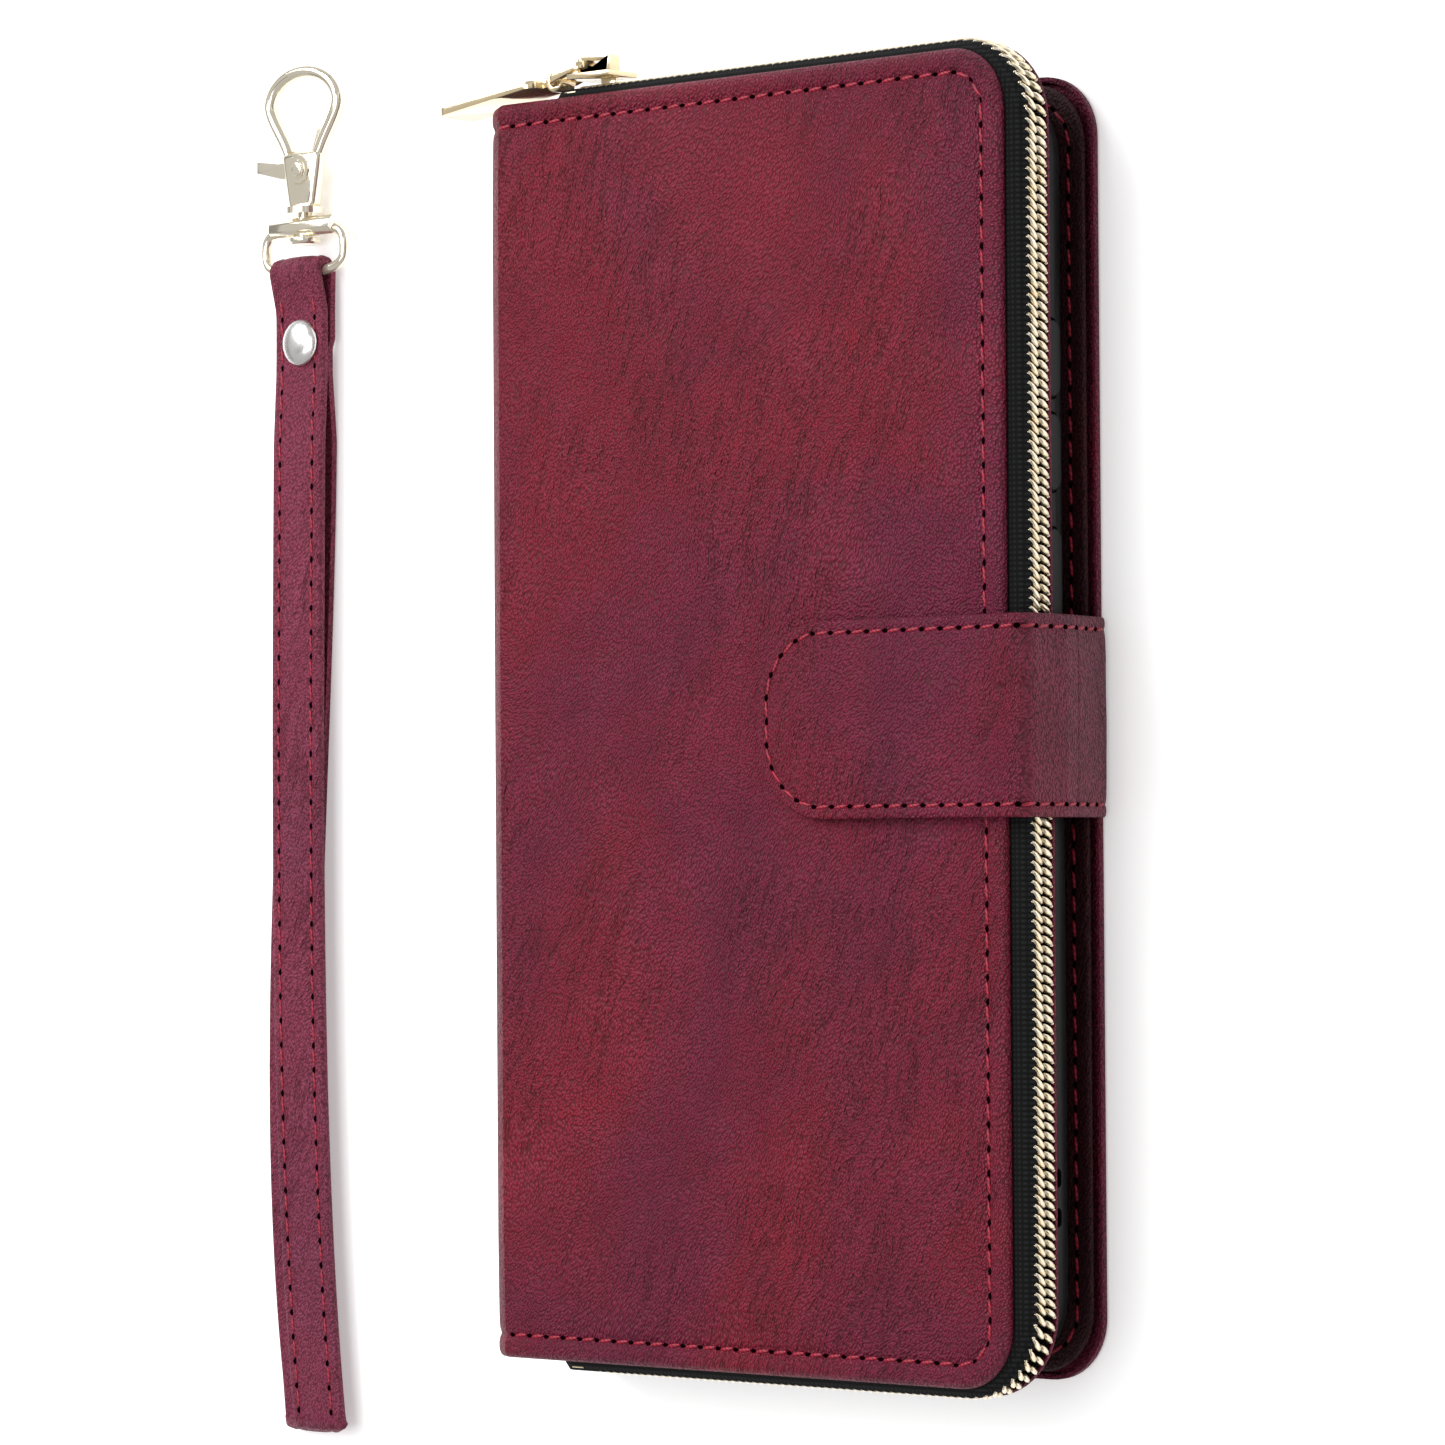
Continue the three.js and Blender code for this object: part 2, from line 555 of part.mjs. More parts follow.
// Wrist strap: one band folded back on itself, round the ring's bar at the top.
const halfBand = strapThickness / 2;
const pinchZ = ringBarZ - 0.6;
function bandCentreline() {
  const points = [];
  const steps = 10;
  const hairpinZ = halfBand + hairpinRadius;
  for (let i = 0; i <= steps; i += 1) {
    const angle = Math.PI / 2 + (Math.PI * i) / steps;
    points.push(new THREE.Vector2(strapLow + halfBand + hairpinRadius * (1 + Math.cos(angle)),
      hairpinZ + hairpinRadius * Math.sin(angle)));
  }
  const pinchHalf = halfBand + cutGap / 2;
  points.push(new THREE.Vector2(rivetY - 14, halfBand + 0.02));
  points.push(new THREE.Vector2(rivetY - 4.5, pinchZ - pinchHalf));
  points.push(new THREE.Vector2(rivetY + 4.5, pinchZ - pinchHalf));
  const wrapRadius = ringBarRadius + wireChamfer + halfBand;
  for (let i = 0; i <= steps; i += 1) {
    const angle = -Math.PI / 2 + (Math.PI * i) / steps;
    points.push(new THREE.Vector2(ringBarY + wrapRadius * Math.cos(angle),
      ringBarZ + wrapRadius * Math.sin(angle)));
  }
  points.push(new THREE.Vector2(rivetY + 4.5, pinchZ + pinchHalf));
  points.push(new THREE.Vector2(rivetY - 4.5, pinchZ + pinchHalf));
  points.push(new THREE.Vector2(rivetY - 14, hairpinZ + hairpinRadius - 0.02));
  return points;
}

function offsetLoop(points, distance) {
  return points.map((point, i) => {
    const before = points[(i + points.length - 1) % points.length];
    const after = points[(i + 1) % points.length];
    const along = after.clone().sub(before).normalize();
    return new THREE.Vector2(point.x + along.y * distance, point.y - along.x * distance);
  });
}

function wristBand() {
  const centre = bandCentreline();
  const shape = new THREE.Shape(offsetLoop(centre, halfBand));
  shape.holes.push(new THREE.Path(offsetLoop(centre, -halfBand)));
  const geometry = slab(shape, -strapWidth / 2, strapWidth / 2);
  // The profile is drawn as (Y, Z) and run along X.
  geometry.applyMatrix4(new THREE.Matrix4().makeBasis(new THREE.Vector3(0, 1, 0),
    new THREE.Vector3(0, 0, 1), new THREE.Vector3(1, 0, 0)));
  geometry.translate(strapX, 0, 0);
  return cut(geometry, disc(rivetShank + runGap, strapX, rivetY, -1, 9, 16));
}
add('wrist_band', wristBand(), leather);

// Rivet: a domed cap with its shank, and a flat back cap.
const pinchHigh = pinchZ + strapThickness + cutGap / 2;
const pinchLow = pinchZ - strapThickness - cutGap / 2;
function rivetCap() {
  const base = pinchHigh + sheetGap;
  const profile = [new THREE.Vector2(0, pinchLow + 0.05), new THREE.Vector2(rivetShank, pinchLow + 0.05),
    new THREE.Vector2(rivetShank, base)];
  const steps = 5;
  for (let i = 0; i < steps; i += 1) {
    const angle = (Math.PI / 2) * (i / steps);
    profile.push(new THREE.Vector2(rivetRadius * Math.cos(angle), base + 1.3 * Math.sin(angle)));
  }
  profile.push(new THREE.Vector2(0, base + 1.3));
  const geometry = new THREE.LatheGeometry(profile, 20);
  return geometry.rotateX(Math.PI / 2).translate(strapX, rivetY, 0);
}
add('rivet_cap', rivetCap(), silver);
add('rivet_back', disc(rivetRadius - 0.4, strapX, rivetY, pinchLow - 0.5, pinchLow - sheetGap, 20),
  silver);

// D-ring with the barrel that the hook's pin turns in.
const dRingLow = ringBarY - ringBarRadius;
const barrelY = dRingLow + dRingDepth - barrelRadius;
function dRing() {
  const half = dRingWidth / 2;
  const wire = 2 * ringBarRadius;
  const outline = roundedPanel(-half, half, dRingLow, dRingLow + dRingDepth, dRingCorner);
  outline.holes.push(roundedPanel(-half + wire, half - wire, dRingLow + wire,
    dRingLow + dRingDepth - wire, dRingWindowCorner));
  const ring = new THREE.ExtrudeGeometry(outline, {
    depth: wire - 2 * wireChamfer, curveSegments: 10, bevelEnabled: true, bevelSegments: 1,
    bevelSize: wireChamfer, bevelThickness: wireChamfer, bevelOffset: -wireChamfer,
  });
  ring.translate(strapX, 0, ringBarZ - ringBarRadius + wireChamfer);
  const barrel = new THREE.CylinderGeometry(barrelRadius, barrelRadius, barrelLength, 16);
  barrel.rotateZ(Math.PI / 2).translate(strapX, barrelY, ringBarZ);
  const bore = new THREE.CylinderGeometry(swivelPinRadius + runGap, swivelPinRadius + runGap, 8, 16);
  bore.translate(strapX, barrelY, ringBarZ);
  return cut(join(ring, barrel), bore);
}
add('d_ring', dRing(), paleGold);

// Swivel pin: a headed pin along Y, fixed in the hook's foot.
const hookLow = barrelY + barrelRadius + cutGap;
const hookShoulderY = hookLow + hookShoulderRise;
const eyeLow = hookLow + eyeRise;
const gatePivotY = hookLow + gatePivotRise;
const pinTop = hookLow + 2;
function swivelPin() {
  const headTop = barrelY - barrelRadius - runGap;
  const profile = [new THREE.Vector2(0, headTop - 0.9), new THREE.Vector2(swivelHeadRadius - 0.3,
    headTop - 0.9), new THREE.Vector2(swivelHeadRadius, headTop - 0.5),
  new THREE.Vector2(swivelHeadRadius, headTop), new THREE.Vector2(swivelPinRadius, headTop),
  new THREE.Vector2(swivelPinRadius, pinTop), new THREE.Vector2(0, pinTop)];
  return new THREE.LatheGeometry(profile, 16).translate(strapX, 0, ringBarZ);
}
add('swivel_pin', swivelPin(), paleGold);

// Hook: a pear-shaped eye on a forked foot, with a sprung gate on a cross pin.
const gateSlotHalf = gateThickness / 2 + runGap;
const gateLow = eyeLow + 1.2; // the foot's shoulder, where the gate comes out of the fork
const noseReach = 11; // from the gate's pivot to the hook's nose
const forkLow = gatePivotY - 3;
function hookOutline() {
  const shape = new THREE.Shape();
  shape.moveTo(-hookFootHalf, hookLow);
  shape.lineTo(hookFootHalf, hookLow);
  shape.quadraticCurveTo(hookHalfWidth, hookShoulderY - 6, hookHalfWidth, hookShoulderY);
  shape.absellipse(0, hookShoulderY, hookHalfWidth, hookRise, 0, Math.PI);
  shape.quadraticCurveTo(-hookHalfWidth, hookShoulderY - 6, -hookFootHalf, hookLow);
  return shape;
}

function eyeOutline() {
  const half = hookHalfWidth - hookWire;
  const path = new THREE.Path();
  path.absellipse(0, hookShoulderY, half, hookRise - hookWire * 0.8, 0, Math.PI);
  path.quadraticCurveTo(-half, eyeLow + 3, -half + 2, eyeLow + 1);
  path.quadraticCurveTo(0, eyeLow - 1, half - 2, eyeLow + 1);
  path.quadraticCurveTo(half, eyeLow + 3, half, hookShoulderY);
  return path;
}

function hookBody() {
  const z0 = ringBarZ - hookThickness / 2;
  const z1 = ringBarZ + hookThickness / 2;
  const outline = hookOutline();
  outline.holes.push(eyeOutline());
  const gateWay = common(block(1.6, hookHalfWidth + 1, gateLow, hookShoulderY + hookRise, z0 - 1, z1 + 1),
    disc(noseReach, 0, gatePivotY, z0 - 2, z1 + 2, 96));
  const fork = block(-9, 9, forkLow, gateLow + 0.4, ringBarZ - gateSlotHalf, ringBarZ + gateSlotHalf);
  const bore = disc(gatePinRadius + sheetGap, 0, gatePivotY, z0 - 1, z1 + 1, 12);
  const pinHole = new THREE.CylinderGeometry(swivelPinRadius + sheetGap, swivelPinRadius + sheetGap,
    4 + sheetGap, 16);
  pinHole.translate(0, pinTop - 2 + sheetGap / 2, ringBarZ);
  return cut(slab(outline, z0, z1, 8), gateWay, fork, bore, pinHole).translate(strapX, 0, 0);
}
add('hook_body', hookBody(), paleGold);

// The gate runs from its thumb trigger, through the fork and up to the hook's nose.
const gateTopX = hookHalfWidth - hookWire / 2 - 0.4;
const gateReach = noseReach - cutGap;
const gateTopY = gatePivotY + gateReach;
function gateLever() {
  const shape = new THREE.Shape();
  shape.moveTo(-9, gatePivotY + 0.2);
  shape.lineTo(-4.5, gatePivotY - 0.9);
  shape.lineTo(0, gatePivotY - 1.5);
  shape.lineTo(3.2, gatePivotY + 1);
  shape.lineTo(gateTopX + gateWidth / 2, gateTopY);
  shape.lineTo(gateTopX - gateWidth / 2, gateTopY);
  shape.lineTo(1.8, gatePivotY + 1.9);
  shape.lineTo(-4.5, gatePivotY + 1.2);
  shape.lineTo(-9, gatePivotY + 1.8);
  const z0 = ringBarZ - gateThickness / 2;
  const lever = common(slab(shape, z0, z0 + gateThickness),
    disc(gateReach, 0, gatePivotY, z0 - 1, z0 + gateThickness + 1, 96));
  const bore = disc(gatePinRadius + runGap / 2, 0, gatePivotY, z0 - 1, z0 + gateThickness + 1, 12);
  return cut(lever, bore).translate(strapX, 0, 0);
}
add('gate_lever', gateLever(), paleGold);
add('gate_pin', disc(gatePinRadius, strapX, gatePivotY, ringBarZ - hookThickness / 2 - runGap,
  ringBarZ + hookThickness / 2 + runGap, 12), paleGold);
add('gate_spring', block(strapX - 3, strapX - 1, forkLow + sheetGap, forkLow + 0.3,
  ringBarZ - gateThickness / 2, ringBarZ + gateThickness / 2), silver);

export default part;
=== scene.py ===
import math

import bmesh
import bpy
from mathutils import Matrix, Vector, noise


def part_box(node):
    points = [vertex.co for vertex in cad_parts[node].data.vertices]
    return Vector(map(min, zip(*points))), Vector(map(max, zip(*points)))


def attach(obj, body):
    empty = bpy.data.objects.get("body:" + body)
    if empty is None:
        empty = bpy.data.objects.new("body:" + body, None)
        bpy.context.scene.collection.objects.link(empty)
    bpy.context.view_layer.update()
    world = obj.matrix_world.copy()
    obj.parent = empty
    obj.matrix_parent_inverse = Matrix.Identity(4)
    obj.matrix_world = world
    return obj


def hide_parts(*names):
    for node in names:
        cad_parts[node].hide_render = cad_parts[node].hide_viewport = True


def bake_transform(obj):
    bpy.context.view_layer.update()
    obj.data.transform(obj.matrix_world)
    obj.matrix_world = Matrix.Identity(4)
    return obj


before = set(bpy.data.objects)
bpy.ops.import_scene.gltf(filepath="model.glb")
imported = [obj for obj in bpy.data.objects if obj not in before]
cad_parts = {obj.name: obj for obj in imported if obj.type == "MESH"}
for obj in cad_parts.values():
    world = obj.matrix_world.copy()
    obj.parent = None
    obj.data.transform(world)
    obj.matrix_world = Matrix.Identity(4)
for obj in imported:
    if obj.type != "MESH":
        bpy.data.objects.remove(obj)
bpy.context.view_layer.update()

# ---- Camera, floor and studio light ----
# The closed case lies on a pale table with its strap beside it. The camera looks down
# at it from the fore side with a long lens, and large soft lamps light it evenly.
MM = 0.001
view_from_fore_side = math.radians(41.29)
view_from_above = math.radians(-1.40)
camera_roll = math.radians(-0.38)
camera_distance = 0.7485
look_at = Vector((-0.0115, 0.0004, 0.010))

outward = Vector((
    math.sin(view_from_fore_side) * math.cos(view_from_above),
    math.sin(view_from_above),
    math.cos(view_from_fore_side) * math.cos(view_from_above),
))
across = Vector((0, 1, 0)).cross(outward).normalized()
upward = outward.cross(across)
roll_cos, roll_sin = math.cos(camera_roll), math.sin(camera_roll)
camera_x = roll_cos * across + roll_sin * upward
camera_y = roll_cos * upward - roll_sin * across
camera = bpy.data.objects.new("camera", bpy.data.cameras.new("camera"))
bpy.context.scene.collection.objects.link(camera)
camera.data.sensor_width = 36
camera.data.lens = 143.6
camera.data.clip_end = 20
camera.matrix_world = (
    Matrix.Translation(look_at + camera_distance * outward)
    @ Matrix((camera_x, camera_y, outward)).transposed().to_4x4()
)
bpy.context.scene.camera = camera
bpy.context.scene.view_settings.view_transform = "Standard"


def put(tree, kind, inputs=None, **settings):
    """Adds a shader node, sets its options, and links or sets its inputs."""
    node = tree.nodes.new(kind)
    for key, value in settings.items():
        setattr(node, key, value)
    for key, value in (inputs or {}).items():
        if isinstance(value, bpy.types.NodeSocket):
            tree.links.new(value, node.inputs[key])
        else:
            node.inputs[key].default_value = value
    return node


def new_finish(name, **shader_values):
    """A material with its shader's own sockets set."""
    finish = bpy.data.materials.new(name)
    finish.use_nodes = True
    shader = finish.node_tree.nodes["Principled BSDF"]
    for key, value in shader_values.items():
        shader.inputs[key.replace("_", " ")].default_value = value
    return finish, finish.node_tree, shader


def math_node(tree, operation, first, second=0.0):
    return put(tree, "ShaderNodeMath", {0: first, 1: second}, operation=operation).outputs[0]


def spread(tree, value, low, high, to_low=0.0, to_high=1.0):
    """Maps a value from one range to another, clamped."""
    return put(tree, "ShaderNodeMapRange", {
        "Value": value, "From Min": low, "From Max": high, "To Min": to_low, "To Max": to_high,
    }).outputs["Result"]


def mix_colours(tree, share, first, second):
    node = put(tree, "ShaderNodeMix", data_type="RGBA")
    for socket, value in (("Factor", share), ("A", first), ("B", second)):
        inputs = [i for i in node.inputs if i.name == socket and i.enabled]
        target = inputs[0]
        if isinstance(value, bpy.types.NodeSocket):
            tree.links.new(value, target)
        else:
            target.default_value = value
    return [o for o in node.outputs if o.enabled][0]


def place_on_piece(tree):
    return put(tree, "ShaderNodeTexCoord").outputs["Object"]


def speckle(tree, scale, **more):
    """An even noise over the piece."""
    return put(tree, "ShaderNodeTexNoise", {
        "Vector": place_on_piece(tree), "Scale": scale, **more}).outputs["Fac"]


def tint(tree, shader, share, first, second):
    """Colours a finish between two tones, by a pattern's share."""
    tree.links.new(mix_colours(tree, share, (*first, 1), (*second, 1)), shader.inputs["Base Color"])


def emboss(tree, shader, height, strength, distance):
    """Raises a finish's surface by a pattern, by a distance in metres."""
    bump = put(tree, "ShaderNodeBump", {"Height": height, "Strength": strength, "Distance": distance})
    tree.links.new(bump.outputs["Normal"], shader.inputs["Normal"])


def corners_of(node):
    """Lowest and highest corner of a piece, in millimetres."""
    return [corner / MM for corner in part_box(node)]


def add_to_scene(bm, name, finish, body=None, sharp_angle=40, recalculate=True):
    """Turns a mesh drawn in millimetres into an object in metres, with its finish."""
    bmesh.ops.scale(bm, vec=(MM, MM, MM), verts=bm.verts)
    if recalculate:
        bmesh.ops.recalc_face_normals(bm, faces=bm.faces)
    for face in bm.faces:
        face.smooth = True
    mesh = bpy.data.meshes.new(name)
    bm.to_mesh(mesh)
    bm.free()
    mesh.set_sharp_from_angle(angle=math.radians(sharp_angle))
    piece = bpy.data.objects.new(name, mesh)
    bpy.context.scene.collection.objects.link(piece)
    mesh.materials.append(finish)
    if body:
        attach(piece, body)
    return piece


def thicken(piece, millimetres, side=-1):
    """Gives a sheet its thickness, behind its outer face or, with side 1, in front of it."""
    wall = piece.modifiers.new("thickness", "SOLIDIFY")
    wall.thickness = millimetres * MM
    wall.offset = side


table_finish, table_tree, table_shader = new_finish(
    "table_top", Roughness=0.9, Emission_Color=(1, 1, 1, 1), Emission_Strength=0.35)
tint(table_tree, table_shader, speckle(table_tree, 3.0), (0.93, 0.93, 0.93), (0.95, 0.95, 0.95))
bm = bmesh.new()
bmesh.ops.create_grid(bm, x_segments=1, y_segments=1, size=4000)
bmesh.ops.translate(bm, vec=(0, 0, -0.05), verts=bm.verts)
table_top = add_to_scene(bm, "table_top", table_finish, recalculate=False)

wall_light = 0.42
world = bpy.data.worlds.new("studio")
world.use_nodes = True
world_tree = world.node_tree
backdrop = world_tree.nodes["Background"]
backdrop.inputs["Color"].default_value = (1, 1, 1, 1)
seen = put(world_tree, "ShaderNodeLightPath").outputs["Is Camera Ray"]
world_tree.links.new(spread(world_tree, seen, 0.0, 1.0, wall_light, 1.0), backdrop.inputs["Strength"])
bpy.context.scene.world = world


def soft_lamp(name, place, aim, size, power):
    lamp = bpy.data.objects.new(name, bpy.data.lights.new(name, "AREA"))
    bpy.context.scene.collection.objects.link(lamp)
    lamp.data.shape = "RECTANGLE"
    lamp.data.size, lamp.data.size_y = size
    lamp.data.energy = power
    lamp.location = place
    lamp.rotation_euler = (Vector(aim) - Vector(place)).to_track_quat("-Z", "Y").to_euler()


soft_lamp("key_lamp", (-0.5, 0.55, 0.75), (0, 0, 0), (0.7, 0.7), 8.6)
soft_lamp("fore_lamp", (0.9, 0.5, 0.5), (0, 0, 0), (0.5, 0.9), 0.4)
soft_lamp("top_lamp", (0.05, 0.0, 1.3), (0, 0, 0), (1.0, 1.0), 8.6)


def dark_card(name, place, size):
    """A black card beside the table, which the polished metal mirrors as its dark parts."""
    card_finish, card_tree, card_shader = new_finish(name, Roughness=1.0, Specular_IOR_Level=0.0)
    felt = speckle(card_tree, 300.0)
    tint(card_tree, card_shader, felt, (0.004, 0.004, 0.004), (0.01, 0.01, 0.01))
    bm = bmesh.new()
    bmesh.ops.create_grid(bm, x_segments=1, y_segments=1, size=500)
    bmesh.ops.scale(bm, vec=(size[0], size[1], 1), verts=bm.verts)
    turn = Vector(place).to_track_quat("Z", "Y").to_matrix().to_4x4()
    bmesh.ops.transform(bm, matrix=Matrix.Translation(Vector(place) / MM) @ turn, verts=bm.verts)
    card = add_to_scene(bm, name, card_finish, recalculate=False)
    card.visible_camera = False
    card.visible_diffuse = False
    card.visible_shadow = False


dark_card("left_card", (-0.38, -0.08, 0.80), (0.14, 0.60))
dark_card("low_card", (-0.82, 0.1, 0.30), (0.9, 0.14))
dark_card("top_card", (-0.30, 0.75, 0.45), (0.5, 0.16))
dark_card("fore_card", (0.85, -0.1, 0.22), (1.4, 0.32))

# ---- Burgundy leather ----
# Soft synthetic leather with a fine slanting grain, a waxy two-tone colour from plum to
# bright red, and bundles of creases, with painted shade darkening the hollows of the grain
# and the creases. The same skin covers both covers, spine and straps.
leather_plum = (0.148, 0.0036, 0.0350, 1)
leather_red = (0.235, 0.0022, 0.0170, 1)
leather_rose = (0.32, 0.036, 0.102, 1)
grain_turn = math.radians(58)


def leather_finish(name, plum, red, rose, grain=1.0, shine=0.40):
    finish, tree, shader = new_finish(name, Specular_IOR_Level=0.30)
    place = place_on_piece(tree)
    drift = put(tree, "ShaderNodeTexNoise", {
        "Vector": place, "Scale": 32.0, "Detail": 2.0}).outputs["Color"]
    sway = put(tree, "ShaderNodeVectorMath", {0: drift, 1: (0.5, 0.5, 0.5)}, operation="SUBTRACT")
    sway = put(tree, "ShaderNodeVectorMath", {0: sway.outputs[0], "Scale": 0.010}, operation="SCALE")
    bent = put(tree, "ShaderNodeVectorMath", {0: place, 1: sway.outputs[0]}, operation="ADD").outputs[0]
    turned = put(tree, "ShaderNodeMapping", {
        "Vector": bent, "Rotation": (0, 0, grain_turn), "Scale": (1 / 2000, 1 / 3300, 1 / 2600)},
        vector_type="TEXTURE")
    cells = put(tree, "ShaderNodeTexVoronoi", {
        "Vector": turned.outputs[0], "Scale": 1.0, "Randomness": 1.0}, feature="F1")
    pebble = spread(tree, cells.outputs["Distance"], 0.22, 0.80, 1.0, 0.0)
    crease_map = put(tree, "ShaderNodeMapping", {
        "Vector": bent, "Rotation": (0, 0, grain_turn + 0.15), "Scale": (1 / 60, 1 / 420, 1 / 250)},
        vector_type="TEXTURE")
    crease_noise = put(tree, "ShaderNodeTexNoise", {
        "Vector": crease_map.outputs[0], "Scale": 1.0, "Detail": 4.0, "Roughness": 0.6,
        "Distortion": 0.7}).outputs["Fac"]
    crease = math_node(tree, "ABSOLUTE", math_node(tree, "SUBTRACT", crease_noise, 0.5))
    crease = spread(tree, crease, 0.0, 0.035, 1.0, 0.0)
    where = put(tree, "ShaderNodeTexNoise", {
        "Vector": place, "Scale": 38.0, "Detail": 2.0}).outputs["Fac"]
    where = spread(tree, where, 0.44, 0.58)
    crease = math_node(tree, "MULTIPLY", crease, where)
    patches = put(tree, "ShaderNodeTexNoise", {
        "Vector": place, "Scale": 21.0, "Detail": 3.0, "Roughness": 0.55,
        "Distortion": 0.4}).outputs["Fac"]
    # The colour shifts redder towards the spine (low x) and darker plum towards the fore edge (high x).
    side = put(tree, "ShaderNodeSeparateXYZ", {"Vector": place}).outputs["X"]
    patches = math_node(tree, "ADD", patches, spread(tree, side, -0.05, 0.05, 0.11, -0.09))
    patches = spread(tree, patches, 0.38, 0.66)
    base = mix_colours(tree, patches, plum, red)
    mottle = put(tree, "ShaderNodeTexNoise", {
        "Vector": turned.outputs[0], "Scale": 0.09, "Detail": 5.0, "Roughness": 0.7}).outputs["Fac"]
    mottle = spread(tree, mottle, 0.35, 0.7, 0.05, 0.22)
    base = mix_colours(tree, mottle, base, rose)
    # Painted shade: the hollows between the pebbles and the creases are multiplied towards a dusky plum.
    deep = put(tree, "ShaderNodeMix", data_type="RGBA", blend_type="MULTIPLY")
    painted_shade_share = math_node(tree, "MULTIPLY", math_node(tree, "SUBTRACT", 1.0, pebble), 0.9)
    painted_shade_share = math_node(tree, "MAXIMUM", painted_shade_share, math_node(tree, "MULTIPLY", crease, 0.55))
    colour_inputs = [i for i in deep.inputs if i.enabled]
    tree.links.new(painted_shade_share, colour_inputs[0])
    tree.links.new(base, colour_inputs[1])
    colour_inputs[2].default_value = (0.34, 0.14, 0.20, 1)
    tree.links.new([o for o in deep.outputs if o.enabled][0], shader.inputs["Base Color"])
    rough = spread(tree, pebble, 0.0, 1.0, shine + 0.22, shine)
    tree.links.new(rough, shader.inputs["Roughness"])
    folds = put(tree, "ShaderNodeBump", {
        "Height": math_node(tree, "SUBTRACT", 1.0, crease), "Strength": 0.75, "Distance": 0.00026})
    skin = put(tree, "ShaderNodeBump", {
        "Height": pebble, "Strength": 1.0 * grain, "Distance": 0.00022,
        "Normal": folds.outputs["Normal"]})
    tree.links.new(skin.outputs["Normal"], shader.inputs["Normal"])
    return finish


burgundy_leather = leather_finish("burgundy_leather", leather_plum, leather_red, leather_rose)

# ---- Crimson sewing thread ----
# Lockstitch in thick crimson thread: short slightly slanting stitches whose needle holes are
# near-black beads of painted shade. Each row sits in the shallow groove that the thread
# pulls into the leather.
stitch_pitch = 3.0
stitch_half_share = 0.37
thread_radius = 0.27
fine_thread_radius = 0.24
thread_slant = math.radians(7)
hole_shade_half_sizes = (0.50, 0.38, 0.16)
crimson_thread, thread_tree, thread_shader = new_finish("crimson_thread", Roughness=0.5)
twist = put(thread_tree, "ShaderNodeTexWave", {
    "Vector": place_on_piece(thread_tree), "Scale": 900.0, "Distortion": 1.0},
    bands_direction="DIAGONAL").outputs["Fac"]
tint(thread_tree, thread_shader, twist, (0.15, 0.002, 0.012), (0.42, 0.006, 0.035))
emboss(thread_tree, thread_shader, twist, 0.5, 0.00006)
# Painted shade: a near-black matt finish for the beads that stand in for the needle holes' darkness.
painted_hole_shade, hole_tree, hole_shader = new_finish("painted_hole_shade", Roughness=1.0, Specular_IOR_Level=0.0)
tint(hole_tree, hole_shader, speckle(hole_tree, 3000.0), (0.002, 0.0008, 0.001), (0.006, 0.001, 0.002))
stamped = bpy.data.meshes.new("stamped_copy")


def stamp(bm, pattern, place):
    """Adds a copy of a small finished shape at a place."""
    copy = pattern.copy()
    bmesh.ops.transform(copy, matrix=place, verts=copy.verts)
    copy.to_mesh(stamped)
    copy.free()
    bm.from_mesh(stamped)


def bead(segments, rings, finish_index=0):
    """A round bead that stitches and coil turns are stretched from."""
    shape = bmesh.new()
    bmesh.ops.create_uvsphere(shape, u_segments=segments, v_segments=rings, radius=1.0)
    for face in shape.faces:
        face.material_index = finish_index
    return shape


def sew(name, stations, body=None, pitch=stitch_pitch, radius=thread_radius):
    """A row of stitches. A station is a place on the skin, the way along, and the way out."""
    bm = bmesh.new()
    strand, pit = bead(8, 5), bead(8, 4, 1)
    for place, along, out in stations:
        side = out.cross(along).normalized()
        turn = Matrix((along, side, out)).transposed().to_4x4()
        lean = Matrix.Rotation(thread_slant, 4, "Z")
        size = Matrix.Diagonal((pitch * stitch_half_share, radius, radius * 0.8, 1))
        seat = Matrix.Translation(place)
        stamp(bm, strand, seat @ turn @ lean @ size @ Matrix.Rotation(math.pi / 2, 4, "Y"))
        # Each stitch ends in a sunk black bead of painted shade for its needle hole.
        hole = Matrix.Translation(place + along * pitch / 2 - out * radius * 0.15)
        stamp(bm, pit, hole @ turn @ Matrix.Diagonal((*hole_shade_half_sizes, 1)))
    strand.free()
    pit.free()
    row = add_to_scene(bm, name, crimson_thread, body, sharp_angle=80, recalculate=False)
    row.data.materials.append(painted_hole_shade)
    return row


def rim_length(x_from, x_fore, y_low, y_high, radius, out):
    """Length of the way along the top, round the fore corners and back along the bottom."""
    return (2 * (x_fore - radius - x_from) + (y_high - y_low - 2 * radius)
            + math.pi * (radius + out))


def along_rim(distance, x_from, x_fore, y_low, y_high, radius, out):
    """Place, way along and way outwards, at a distance along that way."""
    run = x_fore - radius - x_from
    arc = (radius + out) * math.pi / 2
    drop = y_high - y_low - 2 * radius
    turn = 0.0
    if distance <= run:
        place = Vector((x_from + distance, y_high + out, 0))
    elif distance <= run + arc:
        turn = (distance - run) / (radius + out)
        place = Vector((x_fore - radius + (radius + out) * math.sin(turn),
                        y_high - radius + (radius + out) * math.cos(turn), 0))
    elif distance <= run + arc + drop:
        turn = math.pi / 2
        place = Vector((x_fore + out, y_high - radius - (distance - run - arc), 0))
    elif distance <= run + 2 * arc + drop:
        turn = math.pi / 2 + (distance - run - arc - drop) / (radius + out)
        place = Vector((x_fore - radius + (radius + out) * math.sin(turn),
                        y_low + radius + (radius + out) * math.cos(turn), 0))
    else:
        turn = math.pi
        place = Vector((x_fore - radius - (distance - run - 2 * arc - drop), y_low - out, 0))
    return place, Vector((math.cos(turn), -math.sin(turn), 0)), Vector((math.sin(turn), math.cos(turn), 0))


def rim_stations(height, pitch, *rim):
    """Stations for a row of stitches that keeps to a cover's rim."""
    count = int(rim_length(*rim) / pitch)
    stations = []
    for index in range(count):
        place, along, _ = along_rim((index + 0.5) * pitch, *rim)
        place.z = height(place.x, place.y)
        stations.append((place, along, Vector((0, 0, 1))))
    return stations
